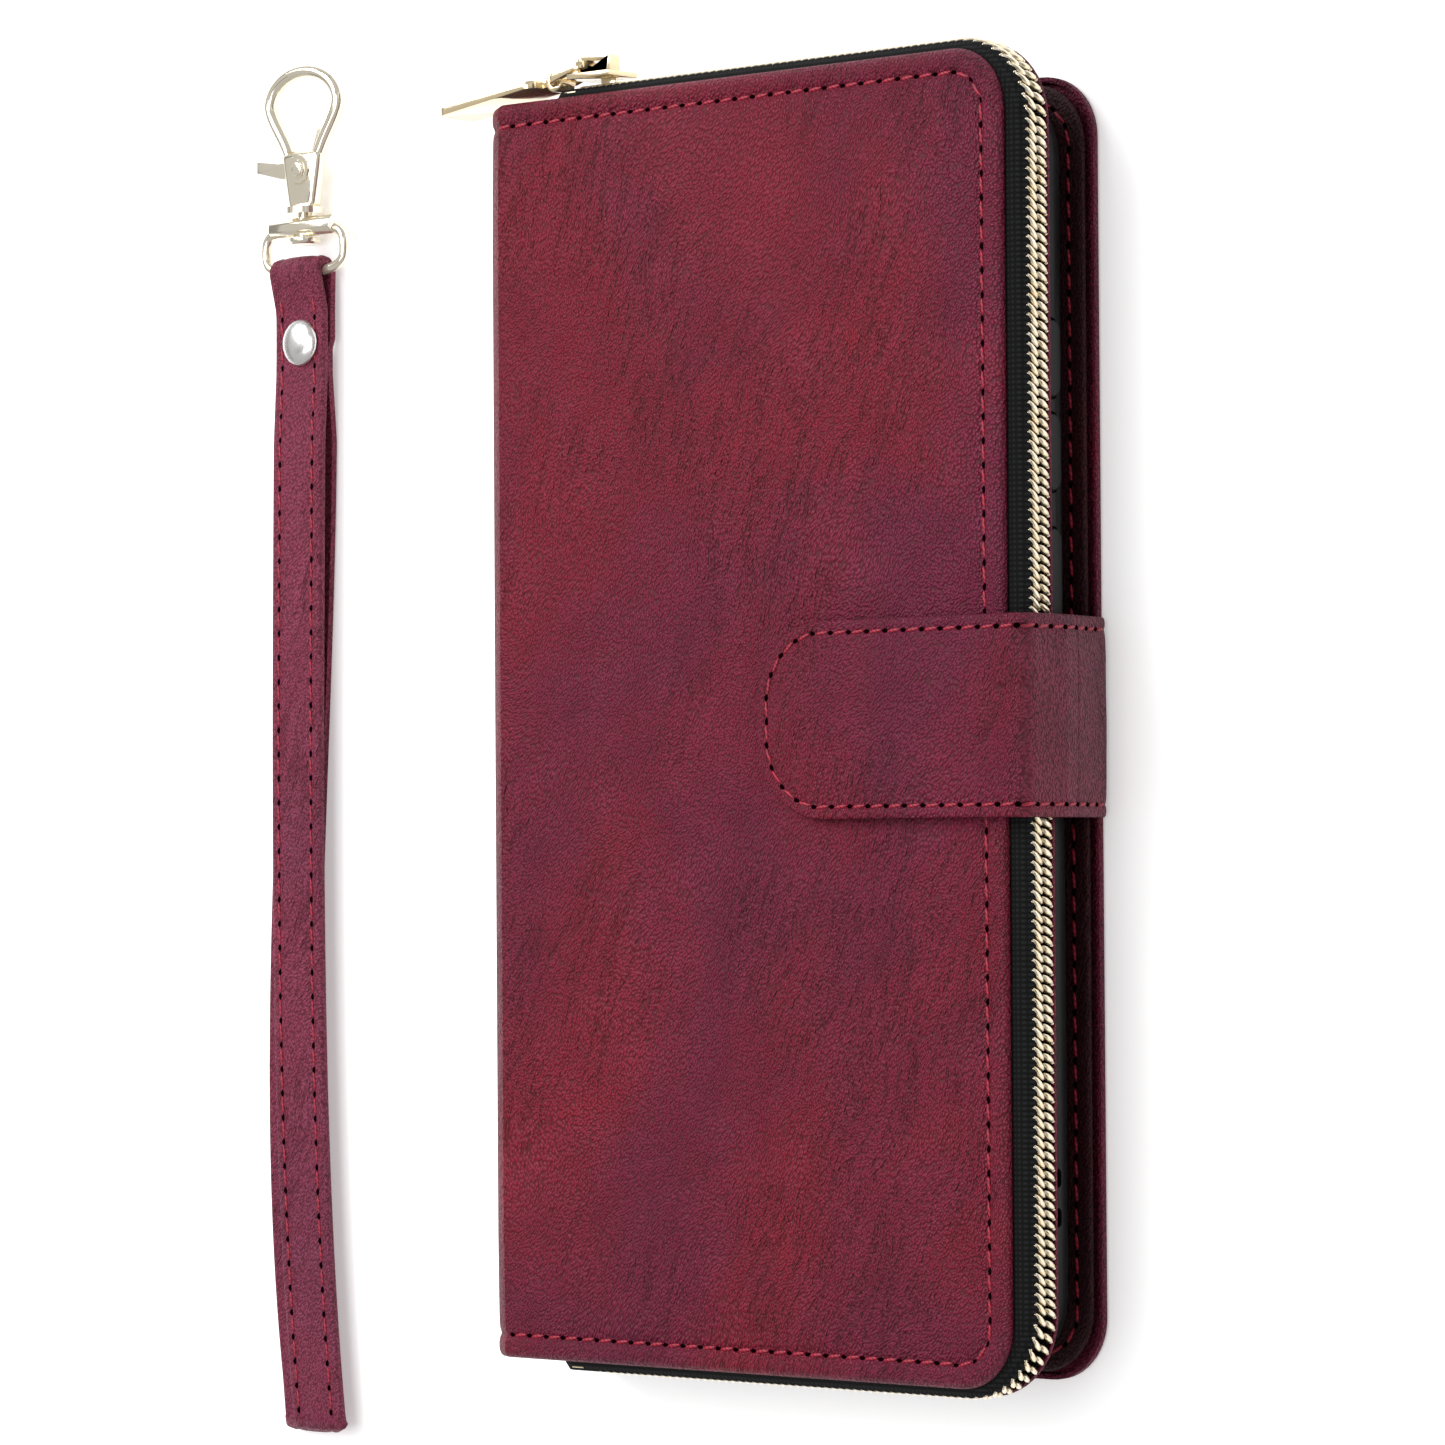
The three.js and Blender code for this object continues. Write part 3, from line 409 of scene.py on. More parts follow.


# ---- Front cover's leather ----
# One skin of leather turned over the front board on three sides, with a padded rim outside
# the stitches, and carried round the fold to the middle of the spine.
turned_edge = 0.8
spine_fullness = 2.3
skin_thick = 0.7
panel_low, panel_high = corners_of("outer_skin")
back_low, back_high = corners_of("back_skin")
board_half = panel_high.y
back_high.x += turned_edge
for low, high in ((panel_low, panel_high), (back_low, back_high)):
    low.y -= turned_edge
    high.y += turned_edge
    low.x -= spine_fullness
corner_radius = 8.0
front_top = panel_high.z
fold_radius = 1.2
spine_middle_z = front_top / 2
bend_x = panel_low.x + fold_radius
# Height of the skin over the panel's flat, by the distance in from its edge.
rim_section = [(0, -0.80), (0.1, -0.50), (0.3, -0.22), (0.7, 0.04), (1.2, 0.16), (1.8, 0.16),
               (2.4, 0.02), (2.75, -0.22), (3.05, -0.34), (3.35, -0.22), (3.8, -0.02), (4.6, 0.08),
               (7.0, 0.14), (16.0, 0.26), (100.0, 0.30)]


def read_section(section, distance):
    for (d0, h0), (d1, h1) in zip(section, section[1:]):
        if distance <= d1:
            return h0 + (h1 - h0) * max(0.0, distance - d0) / (d1 - d0)
    return section[-1][1]


def from_rim(x, y, x_fore, y_low, y_high, radius):
    """Distance in from the nearest of a cover's top, fore and bottom edges."""
    dx = x_fore - x
    dy = min(y_high - y, y - y_low)
    if dx < radius and dy < radius:
        return radius - math.hypot(radius - dx, radius - dy)
    return min(dx, dy)


def soft_wave(x, y, span, depth):
    return depth * noise.noise(Vector((x / span, y / span, 0.37)))


def cut_across(bm, axis, value, closeness=0.02):
    """Cuts a flat sheet along a line square to an axis."""
    point, normal = Vector(), Vector()
    point[axis], normal[axis] = value, 1
    bmesh.ops.bisect_plane(bm, geom=bm.verts[:] + bm.edges[:] + bm.faces[:],
                           plane_co=point, plane_no=normal, dist=closeness)


def cornered_sheet(x0, x1, y0, y1, rounded_end, radius, arc, rings):
    """A flat sheet with rings of faces along its rim.

    It is rounded at its high end (1), its low end (-1) or neither (0)."""
    bm = bmesh.new()
    bmesh.ops.create_grid(bm, x_segments=1, y_segments=1, size=0.5)
    bmesh.ops.scale(bm, vec=(x1 - x0, y1 - y0, 1), verts=bm.verts)
    bmesh.ops.translate(bm, vec=((x0 + x1) / 2, (y0 + y1) / 2, 0), verts=bm.verts)
    corners = [v for v in bm.verts if rounded_end * (v.co.x - (x0 + x1) / 2) > 0]
    if corners:
        bmesh.ops.bevel(bm, geom=corners, offset=radius, segments=arc, profile=0.5,
                        affect="VERTICES", material=-1)
    done = 0.0
    for ring in rings:
        middle = max(bm.faces, key=lambda face: face.calc_area())
        bmesh.ops.inset_region(bm, faces=[middle], thickness=ring - done,
                               use_even_offset=True, use_boundary=True)
        done = ring
    return bm


def blank_sheet(x0, x1, y0, y1, radius, rings, step):
    """A cover's flat sheet, with rounded fore corners and a grid inside its rim."""
    bm = cornered_sheet(x0, x1, y0, y1, 1, radius, 14, rings)
    for axis, (start, end) in enumerate(((x0, x1), (y0, y1))):
        cuts = max(1, round((end - start) / step))
        for index in range(1, cuts):
            cut_across(bm, axis, start + (end - start) * index / cuts)
    return bm


def panel_height(x, y):
    d = from_rim(x, y, panel_high.x, panel_low.y, panel_high.y, corner_radius)
    lift = read_section(rim_section, d)
    settle = min(1.0, max(0.0, (d - 4) / 10)) * min(1.0, max(0.0, (x - bend_x) / 8))
    return front_top + lift + settle * soft_wave(x, y, 26, 0.16)


fold_arc = fold_radius * math.pi / 2
fold_fade = 6
spine_high_y = (panel_high.y + back_high.y) / 2


def carry_round_fold(vertex, side, centre_z, swell, reach, cover_high_y):
    """Carries a cover's skin round the fold and on to the middle of the spine.

    The side is 1 for the front cover, whose skin goes down, and -1 for the back cover."""
    beyond = bend_x - vertex.co.x
    if beyond < fold_arc:
        turn = beyond / fold_radius
        vertex.co.x = bend_x - (fold_radius + swell) * math.sin(turn)
        vertex.co.z = centre_z + side * (fold_radius + swell) * math.cos(turn)
    else:
        past = beyond - fold_arc
        vertex.co.x = bend_x - fold_radius - swell * max(0.0, 1 - past / fold_fade)
        vertex.co.z = centre_z - side * past
    if vertex.co.y > 0:
        share = min(1.0, beyond / reach)
        vertex.co.y = vertex.co.y * (1 + share * (spine_high_y / cover_high_y - 1))


def turn_edge(bm, edges, rise):
    """Carries a sheet's edge straight up or down, as leather turned over a board."""
    turned = bmesh.ops.extrude_edge_only(bm, edges=edges)
    bmesh.ops.translate(bm, vec=(0, 0, rise), verts=[
        g for g in turned["geom"] if isinstance(g, bmesh.types.BMVert)])


front_overlap = 0.2
front_reach = fold_arc + (front_top + front_overlap - fold_radius - spine_middle_z)
rim_rings = [d for d, _ in rim_section[1:12]]
bm = blank_sheet(bend_x - front_reach, panel_high.x, panel_low.y, panel_high.y, corner_radius,
                 rim_rings, 4.0)
for vertex in bm.verts:
    x, y = vertex.co.x, vertex.co.y
    if x >= bend_x:
        vertex.co.z = panel_height(x, y)
    else:
        carry_round_fold(vertex, 1, front_top - fold_radius, panel_height(bend_x, y) - front_top,
                         front_reach, panel_high.y)
turn_edge(bm, [e for e in bm.edges if e.is_boundary and max(v.co.z for v in e.verts) > front_top - 1.0
               and min(v.co.x for v in e.verts) >= bend_x - 0.05], -0.30)
front_leather = add_to_scene(bm, "front_cover_leather", burgundy_leather, sharp_angle=60)
thicken(front_leather, skin_thick)
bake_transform(front_leather)
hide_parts("outer_skin")

stitch_inset = 3.05
front_rim = (panel_low.x + 2.0, panel_high.x, panel_low.y, panel_high.y, corner_radius, -stitch_inset)
front_stitches = sew("front_cover_stitches", rim_stations(
    lambda x, y: panel_height(x, y) + 0.06, stitch_pitch, *front_rim), "pouch")

# ---- Zip tapes ----
# Two black woven polyester tapes. Each is sewn under a leather edge, runs out past it, and
# dips to the row of teeth that it carries.
tape_finish, tape_tree, tape_shader = new_finish("zip_tape", Roughness=0.9, Specular_IOR_Level=0.2)
tape_place = place_on_piece(tape_tree)
tape_weave = []
for direction, scale in (("X", 480.0), ("Y", 480.0), ("Z", 520.0)):
    tape_weave.append(put(tape_tree, "ShaderNodeTexWave", {
        "Vector": tape_place, "Scale": scale, "Distortion": 0.6, "Detail": 1.0},
        bands_direction=direction).outputs["Fac"])
woven = math_node(tape_tree, "MULTIPLY", tape_weave[1], math_node(
    tape_tree, "MAXIMUM", tape_weave[0], tape_weave[2]))
tint(tape_tree, tape_shader, woven, (0.0015, 0.0016, 0.0018), (0.013, 0.0135, 0.0145))
emboss(tape_tree, tape_shader, woven, 0.6, 0.00012)

outer_teeth_low, outer_teeth_high = corners_of("outer_teeth")
inner_teeth_low, inner_teeth_high = corners_of("inner_teeth")
outer_tape_high = corners_of("outer_tape")[1]
inner_tape_low = corners_of("inner_tape")[0]
chain_half = board_half - 0.6
chain_reach = outer_teeth_high.x - panel_high.x
chain_start = outer_teeth_low.x
tape_thick = 0.3


def tape_along_rim(name, section):
    """A tape drawn as (distance out, height) points and carried along the covers' rim."""
    bm = bmesh.new()
    rim = (chain_start - 3, panel_high.x, -chain_half, chain_half, corner_radius, 0.0)
    length = rim_length(*rim)
    count = round(length / 1.5)
    rows = []
    for index in range(count + 1):
        place, _, out = along_rim(min(length * index / count, length - 1e-6), *rim)
        row = [bm.verts.new((place.x + out.x * d, place.y + out.y * d, z)) for d, z in section]
        rows.append([bm.edges.new(pair) for pair in zip(row, row[1:])])
    for before, after in zip(rows, rows[1:]):
        bmesh.ops.bridge_loops(bm, edges=before + after)
    tape = add_to_scene(bm, name, tape_finish, "pouch")
    thicken(tape, tape_thick)
    return tape


tape_drop = outer_teeth_high.z + 0.1
outer_tape = tape_along_rim("outer_zip_tape", [
    (-4.5, outer_tape_high.z - 0.2), (-0.6, outer_tape_high.z - 0.2), (0.6, outer_tape_high.z - 0.05),
    (chain_reach * 0.5, outer_tape_high.z - 0.2), (chain_reach * 0.85, tape_drop - 0.1),
    (chain_reach * 0.9, tape_drop - 0.6), (0.3, tape_drop - 1.2)])
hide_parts("outer_tape")
inner_tape = tape_along_rim("inner_zip_tape", [
    (-4.5, inner_tape_low.z + 0.2), (0.0, inner_tape_low.z + 0.2),
    (chain_reach * 0.55, inner_tape_low.z + 0.1), (chain_reach * 0.8, inner_tape_low.z + 0.5),
    (0.3, inner_tape_low.z + 1.2)])
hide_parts("inner_tape")

# ---- Zip teeth ----
# A metallised coil zip: two rows of slanting coils whose turns lock into each other, so that
# the closed chain looks like a twisted curb chain in pale champagne gold.
coil_finish, coil_tree, coil_shader = new_finish("champagne_coil", Metallic=0.9)
# The gold varies at random between darker yellow and pale champagne; the paler speckles are rougher.
coil_tone_speckle = speckle(coil_tree, 700.0, Detail=2.0)
tint(coil_tree, coil_shader, coil_tone_speckle, (0.72, 0.55, 0.29), (0.97, 0.93, 0.84))
coil_tree.links.new(spread(coil_tree, coil_tone_speckle, 0.3, 0.7, 0.22, 0.38), coil_shader.inputs["Roughness"])
tooth_pitch = 1.2
tooth_lean = math.radians(40)
coil_half_width, coil_half_depth, coil_inset = 0.39, 0.60, 0.62
nub_half_sizes, nub_inset = (0.24, 0.42, 0.26), 0.70


def coil_row(name, low, high, lean, length, offset, node):
    """One row of coil turns along the rim: a long slanting turn and a round end."""
    bm = bmesh.new()
    rim = (chain_start, panel_high.x, -chain_half, chain_half, corner_radius, 0.0)
    middle = (low + high) / 2
    half = (high - low) / 2
    count = int(rim_length(*rim) / tooth_pitch) - 1
    turn_shape, nub_shape = bead(8, 6), bead(6, 5)
    nub_side = 1 if node == "outer_teeth" else -1
    for index in range(count):
        place, along, out = along_rim((index + offset) * tooth_pitch, *rim)
        place.z = middle
        turn = Matrix((along, out, Vector((0, 0, 1)))).transposed().to_4x4()
        seat = Matrix.Translation(place + out * (chain_reach - coil_inset))
        stamp(bm, turn_shape, seat @ turn @ Matrix.Rotation(lean, 4, "Y")
              @ Matrix.Diagonal((coil_half_width, coil_half_depth, length, 1)))
        nub = Matrix.Translation(
            place + out * (chain_reach - nub_inset) + along * 0.5 * tooth_pitch)
        stamp(bm, nub_shape, nub @ turn @ Matrix.Translation((0, 0, nub_side * half * 0.85))
              @ Matrix.Diagonal((*nub_half_sizes, 1)))
    turn_shape.free()
    nub_shape.free()
    row = add_to_scene(bm, name, coil_finish, "pouch", sharp_angle=80, recalculate=False)
    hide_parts(node)
    return row


chain_middle = (inner_teeth_high.z + outer_teeth_low.z) / 2
chain_mesh = 0.1
coil_row("outer_coil", chain_middle - chain_mesh, outer_teeth_high.z, -tooth_lean, 1.40, 0.5,
         "outer_teeth")
coil_row("inner_coil", inner_teeth_low.z, chain_middle + chain_mesh, -0.75 * tooth_lean, 1.15, 1.0,
         "inner_teeth")

# ---- Pouch's inner leather ----
# A thinner leather faces the phone side of the pouch. Its edge stands just behind the teeth.
inner_low, inner_high = corners_of("inner_skin")
overhang = inner_high.x - panel_high.x
bm = blank_sheet(inner_low.x, inner_high.x, inner_low.y, inner_high.y, corner_radius + overhang,
                 [0.2, 0.5, 1.0], 6)
for vertex in bm.verts:
    x, y = vertex.co.x, vertex.co.y
    if x < chain_start:
        ease = min(1.0, (chain_start - x) / 4)
        limit = board_half + (overhang - 0.4) * (1 - ease)
        vertex.co.y = max(-limit, min(limit, y))
    vertex.co.y *= (inner_high.y - 0.6) / inner_high.y
    d = from_rim(x, y, inner_high.x, inner_low.y, inner_high.y, corner_radius + overhang)
    vertex.co.z = inner_low.z + 0.02 + 0.12 * max(0.0, 1 - d / 0.5) ** 2
inner_leather = add_to_scene(bm, "pouch_inner_leather", burgundy_leather, "pouch", recalculate=False)
thicken(inner_leather, 0.38, side=1)
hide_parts("inner_skin")

# ---- Back cover's leather ----
# The outer skin of the back cover, turned up round its edge to meet the lining, with the
# camera window cut through it, and carried round the lower fold to the middle of the spine.
lining_low, lining_high = corners_of("back_lining")
back_reach = fold_arc + (spine_middle_z - fold_radius)
back_edge_rise = 0.62
back_section = [(0, back_edge_rise), (0.1, 0.38), (0.3, 0.18), (0.7, 0.05), (1.4, 0.0), (100.0, 0.0)]


def back_height(x, y):
    d = from_rim(x, y, back_high.x, back_low.y, back_high.y, corner_radius)
    return read_section(back_section, d)


window_x = (11.5, 35.5)
window_y = (21.0, 73.0)


def cut_window(bm, grow):
    """Opens the camera window: cuts the sheet along its four sides and takes the middle out."""
    x0, x1 = window_x[0] - grow, window_x[1] + grow
    y0, y1 = window_y[0] - grow, window_y[1] + grow
    for axis, value in ((0, x0), (0, x1), (1, y0), (1, y1)):
        cut_across(bm, axis, value, 0.001)
    inside = [f for f in bm.faces if x0 < f.calc_center_median().x < x1
              and y0 < f.calc_center_median().y < y1]
    bmesh.ops.dissolve_faces(bm, faces=inside)
    opening = [f for f in bm.faces if f.calc_area() > 0.9 * (x1 - x0) * (y1 - y0)]
    bmesh.ops.delete(bm, geom=opening, context="FACES_ONLY")


bm = blank_sheet(bend_x - back_reach, back_high.x, back_low.y, back_high.y, corner_radius,
                 [0.1, 0.3, 0.7, 1.4], 4)
cut_window(bm, 0.6)
for vertex in bm.verts:
    x, y = vertex.co.x, vertex.co.y
    if x >= bend_x:
        vertex.co.z = back_height(x, y)
    else:
        carry_round_fold(vertex, -1, fold_radius, -back_height(bend_x, y), back_reach, back_high.y)
turn_edge(bm, [e for e in bm.edges if e.is_boundary and min(v.co.x for v in e.verts) >= bend_x - 0.05
               and min(v.co.z for v in e.verts) > 0.5], lining_low.z - back_edge_rise)
bmesh.ops.reverse_faces(bm, faces=bm.faces)
back_leather = add_to_scene(bm, "back_cover_leather", burgundy_leather, sharp_angle=60,
                            recalculate=False)
thicken(back_leather, skin_thick)
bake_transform(back_leather)
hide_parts("back_skin", "spine_skin")

# ---- Back cover's lining ----
# Dark matt leather lines the back cover under the shell, sewn down near its edge.
lining_leather = leather_finish("lining_leather", (0.035, 0.003, 0.007, 1), (0.075, 0.004, 0.010, 1),
                                (0.10, 0.02, 0.03, 1), grain=0.6, shine=0.5)
lining_section = [(0, -0.40), (0.1, -0.20), (0.3, -0.05), (0.7, 0.0), (1.8, 0.0), (2.4, -0.12),
                  (3.0, 0.0), (100.0, 0.0)]


def lining_height(x, y):
    d = from_rim(x, y, lining_high.x, lining_low.y, lining_high.y, corner_radius)
    return lining_high.z + read_section(lining_section, d)


bm = blank_sheet(lining_low.x, lining_high.x, lining_low.y, lining_high.y, corner_radius,
                 [0.1, 0.3, 0.7, 1.8, 2.4, 3.0], 5)
cut_window(bm, 0.3)
for vertex in bm.verts:
    vertex.co.z = lining_height(vertex.co.x, vertex.co.y)
back_lining = add_to_scene(bm, "back_cover_lining", lining_leather, "root", recalculate=False)
thicken(back_lining, skin_thick)
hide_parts("back_lining")
lining_rim = (lining_low.x + 6, lining_high.x, lining_low.y, lining_high.y, corner_radius, -2.4)
lining_stitches = sew("back_cover_stitches", rim_stations(
    lambda x, y: lining_height(x, y) + 0.05, stitch_pitch, *lining_rim), "root")


# ---- Phone shell and its buttons ----
# One black moulded rubbery shell, glued to the lining, with raised button pads on the side.
def rounded_copy(name, nodes, finish, body, width, segments=2):
    """A copy of a machined or moulded piece with its sharp edges broken."""
    bm = bmesh.new()
    bm.from_mesh(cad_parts[nodes[0]].data)
    bmesh.ops.scale(bm, vec=(1 / MM,) * 3, verts=bm.verts)
    bmesh.ops.remove_doubles(bm, verts=bm.verts, dist=0.003)
    bmesh.ops.dissolve_limit(bm, angle_limit=math.radians(1.0), verts=bm.verts, edges=bm.edges)
    edges = [e for e in bm.edges if len(e.link_faces) == 2
             and e.calc_face_angle(0.0) > math.radians(30)]
    bmesh.ops.bevel(bm, geom=edges, offset=width, segments=segments, profile=0.5,
                    affect="EDGES", clamp_overlap=True, material=-1)
    piece = add_to_scene(bm, name, finish, body, sharp_angle=35, recalculate=False)
    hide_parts(*nodes)


shell_finish, shell_tree, shell_shader = new_finish("black_rubber_shell", Specular_IOR_Level=0.35)
shell_cloud = speckle(shell_tree, 60.0, Detail=3.0)
tint(shell_tree, shell_shader, shell_cloud, (0.0025, 0.0026, 0.0029), (0.005, 0.0052, 0.0056))
shell_tree.links.new(spread(shell_tree, shell_cloud, 0.3, 0.7, 0.42, 0.55),
                     shell_shader.inputs["Roughness"])
emboss(shell_tree, shell_shader, speckle(shell_tree, 2600.0, Detail=2.0), 0.25, 0.00003)
rounded_copy("moulded_shell", ["phone_shell"], shell_finish, "root", 0.25)
for key, body in (("volume_up_button", "volume_up_key"), ("volume_down_button", "volume_down_key"),
                  ("power_button", "power_key")):
    rounded_copy(key.replace("_button", "_pad"), [key], shell_finish, body, 0.3, 3)

# ---- Closure strap ----
# A leather band from the back cover's edge, up past the zip and over the front, where its
# rounded tip holds by a magnet. Skin and lining are sewn together all round the edge.
side_low, side_high = corners_of("closure_side_skin")
flap_low, flap_high = corners_of("flap_skin")
tip_fullness = 2.0
flap_low.x -= tip_fullness
strap_half = flap_high.y
strap_turn = 2.4
flap_z = flap_high.z
strap_line = [Vector((flap_low.x - 2 + i * 2, 0, flap_z)) for i in range(
    int((flap_high.x - strap_turn - flap_low.x + 2) / 2) + 1)]
for i in range(9):
    turn = math.pi / 2 * i / 8
    strap_line.append(Vector((flap_high.x - strap_turn + strap_turn * math.sin(turn), 0,
                              flap_z - strap_turn + strap_turn * math.cos(turn))))
side_bend = 12.4
for i in range(1, 5):
    strap_line.append(Vector((flap_high.x, 0, flap_z - strap_turn
                              + (side_bend - flap_z + strap_turn) * i / 4)))
side_foot_x = side_high.x - 2.9
for i in range(1, 7):
    share = i / 6
    strap_line.append(Vector((flap_high.x + (side_foot_x - flap_high.x) * share ** 1.15, 0,
                              side_bend + (0.7 - side_bend) * share)))
strap_steps = [0.0]
for before, after in zip(strap_line, strap_line[1:]):
    strap_steps.append(strap_steps[-1] + (after - before).length)


def on_strap(u, y, h):
    """A place h above the strap's outer face, u along from its tip's plane and y across."""
    u = max(0.0, min(strap_steps[-1] - 1e-6, u))
    index = next(i for i in range(len(strap_steps) - 1) if u <= strap_steps[i + 1])
    share = (u - strap_steps[index]) / max(1e-9, strap_steps[index + 1] - strap_steps[index])
    place = strap_line[index].lerp(strap_line[index + 1], share)

    def heading(i):
        low, high = max(0, i - 1), min(len(strap_line) - 1, i + 1)
        return (strap_line[high] - strap_line[low]).normalized()
    way = heading(index).lerp(heading(index + 1), share).normalized()
    out = Vector((-way.z, 0, way.x))
    return Vector((place.x, y, place.z)) + out * h, way, out


strap_tip_u = 2.0
lining_thick = 0.35
strap_end_u = strap_steps[-1] - 0.2
strap_split_u = strap_end_u - 9.0
strap_section = [(0, -0.30), (0.12, -0.14), (0.35, -0.03), (0.8, 0.03), (1.2, 0.0), (1.6, -0.14),
                 (2.0, -0.02), (2.8, 0.06), (5.0, 0.12), (100.0, 0.14)]
tip_radius = strap_half - 2.0


def strap_inset(u, y):
    """Distance in from the strap's edge, whose tip is a wide D."""
    du = u - strap_tip_u
    dy = strap_half - abs(y)
    if du < tip_radius and dy < tip_radius:
        return tip_radius - math.hypot(tip_radius - du, tip_radius - dy)
    return min(du, dy)


def strap_height(u, y):
    d = strap_inset(u, y)
    magnet = max(0.0, 1 - math.hypot(u - strap_tip_u - 12, y) / 9) ** 0.5
    ripple = 0.10 * noise.noise(Vector((u / 9, y / 7, 1.7))) * min(1.0, max(0.0, (d - 2) / 3))
    return read_section(strap_section, max(0.0, d)) + 0.10 * magnet * (d > 2.4) + ripple


def strap_sheet(name, u0, u1, depth, thick, finish, rounded, inset=0.0):
    """A length of the strap between two places along it, lying depth below its outer face."""
    half = strap_half - inset
    rings = [0.12, 0.35, 0.8, 1.2, 1.6, 2.0, 2.8]
    if rounded:
        bm = cornered_sheet(u0, u1, -half, half, -1, tip_radius - inset, 16, rings)
    else:
        bm = cornered_sheet(u0, u1, -half, half, 0, 0, 0, [])
    for ring in rings:
        cut_across(bm, 1, ring - half)
        cut_across(bm, 1, half - ring)
    for k in range(-4, 5):
        cut_across(bm, 1, half * k / 5)
    lengths = round((u1 - u0) / 0.9)
    for k in range(1, lengths):
        cut_across(bm, 0, u0 + (u1 - u0) * k / lengths)
    for vertex in bm.verts:
        u, y = vertex.co.x, vertex.co.y
        lift = strap_height(u, y) if depth == 0 else 0.0
        vertex.co = on_strap(u, y, lift - depth)[0]
    piece = add_to_scene(bm, name, finish, recalculate=False, sharp_angle=60)
    thicken(piece, thick)
    return piece


def bend_top(piece):
    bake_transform(piece)


def bend_foot(piece):
    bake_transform(piece)


strap_skin_top = strap_sheet("closure_strap_leather", strap_tip_u, strap_split_u, 0, skin_thick,
                             burgundy_leather, True)
bend_top(strap_skin_top)
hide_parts("flap_skin")
strap_skin_foot = strap_sheet("closure_strap_foot", strap_split_u, strap_end_u, 0, skin_thick,
                              burgundy_leather, False)
bend_foot(strap_skin_foot)
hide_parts("closure_side_skin")
strap_lining_top = strap_sheet("closure_strap_lining", strap_tip_u + 0.15, strap_split_u, 1.0, lining_thick,
                               lining_leather, True, 0.15)
bend_top(strap_lining_top)
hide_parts("flap_lining")
strap_lining_foot = strap_sheet("closure_strap_foot_lining", strap_split_u, strap_end_u, 1.0, lining_thick,
                                lining_leather, False, 0.15)
bend_foot(strap_lining_foot)
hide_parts("closure_side_lining")

strap_stitch_inset = 1.6
strap_stitch_pitch = 2.9
tip_arc = (tip_radius - strap_stitch_inset) * math.pi / 2
tip_flat = 2 * (strap_half - tip_radius)


def strap_stitch_stations():
    """Stations up one side of the strap, round its tip and down the other side."""
    straight = strap_end_u - strap_tip_u - tip_radius
    total = 2 * straight + 2 * tip_arc + tip_flat
    count = int(total / strap_stitch_pitch)
    reach = tip_radius - strap_stitch_inset
    found = []
    for index in range(count):
        s = (index + 0.5) * total / count
        mirror = 1
        if s > total / 2:
            s, mirror = total - s, -1
        if s <= straight:
            u, y, way = strap_end_u - s, strap_half - strap_stitch_inset, (-1, 0)
        elif s <= straight + tip_arc:
            turn = (s - straight) / reach
            u = strap_tip_u + tip_radius - reach * math.sin(turn)
            y = strap_half - tip_radius + reach * math.cos(turn)
            way = (-math.cos(turn), -math.sin(turn))
        else:
            u, y, way = strap_tip_u + strap_stitch_inset, strap_half - tip_radius - (
                s - straight - tip_arc), (0, -1)
        place, forward, out = on_strap(u, mirror * y, strap_height(u, mirror * y) + 0.05)
        along = forward * way[0] + Vector((0, 1, 0)) * way[1] * mirror
        found.append((u, (place, along.normalized(), out)))
    return found


strap_stations = strap_stitch_stations()
strap_stitches = sew("closure_strap_stitches", [
    s for u, s in strap_stations if u < strap_split_u], None, strap_stitch_pitch, fine_thread_radius)
bend_top(strap_stitches)
foot_stitches = sew("closure_foot_stitches", [
    s for u, s in strap_stations if u >= strap_split_u], None, strap_stitch_pitch, fine_thread_radius)
bend_foot(foot_stitches)

# ---- Wrist strap ----
# One leather band folded back on itself round the ring, with a stitch row near each edge and
# a rivet through both layers. The lower layer lies a little to one side.
band_low, band_high = corners_of("wrist_band")
ring_low, ring_high = corners_of("d_ring")
band_x = (band_low.x + band_high.x) / 2 - 0.6
band_half = (band_high.x - band_low.x) / 2 - 0.7
band_thick = 1.3
bar_y = ring_low.y + 1.0
bar_z = (ring_low.z + ring_high.z) / 2
wrap_radius = 0.9 + band_thick
hairpin = 1.6 + band_thick
loop_top_z = 2 * hairpin - 1.6
rivet_y = bar_y - 10
pinch_half_length = 4.5
pinch_end_y = rivet_y - 14
pinch_top = bar_z - 0.6 + band_thick + 0.15
pinch_low = bar_z - 0.6 - band_thick - 0.15
wrist_leather = leather_finish("wrist_strap_leather", (0.16, 0.018, 0.058, 1),
                               (0.22, 0.018, 0.056, 1), (0.36, 0.095, 0.175, 1), grain=0.7, shine=0.42)
band_line = []
for i in range(9):
    turn = math.pi * i / 8
    band_line.append(Vector((0, bar_y + wrap_radius * math.sin(turn),
                             bar_z - wrap_radius * math.cos(turn))))
band_line.append(Vector((0, rivet_y + pinch_half_length, pinch_top)))
band_line.append(Vector((0, rivet_y - pinch_half_length, pinch_top)))
band_line.append(Vector((0, pinch_end_y, loop_top_z)))
for i in range(1, 9):
    share = i / 9
    band_line.append(Vector((0, pinch_end_y * (1 - share) + (band_low.y + hairpin) * share,
                             loop_top_z)))
for i in range(9):
    turn = math.pi * i / 8
    squash = loop_top_z / 2
    band_line.append(Vector((0, band_low.y + squash * (1 - math.sin(turn)),
                             squash + squash * math.cos(turn))))
for i in range(1, 10):
    share = i / 9
    band_line.append(Vector((0, (band_low.y + hairpin) * (1 - share) + pinch_end_y * share, 0.02)))
band_line.append(Vector((0, rivet_y - pinch_half_length, pinch_low)))
band_line.append(Vector((0, rivet_y + pinch_half_length, pinch_low)))
band_steps = [0.0]
for before, after in zip(band_line + band_line[:1], band_line[1:] + band_line[:1]):
    band_steps.append(band_steps[-1] + (after - before).length)
band_length = band_steps[-1]


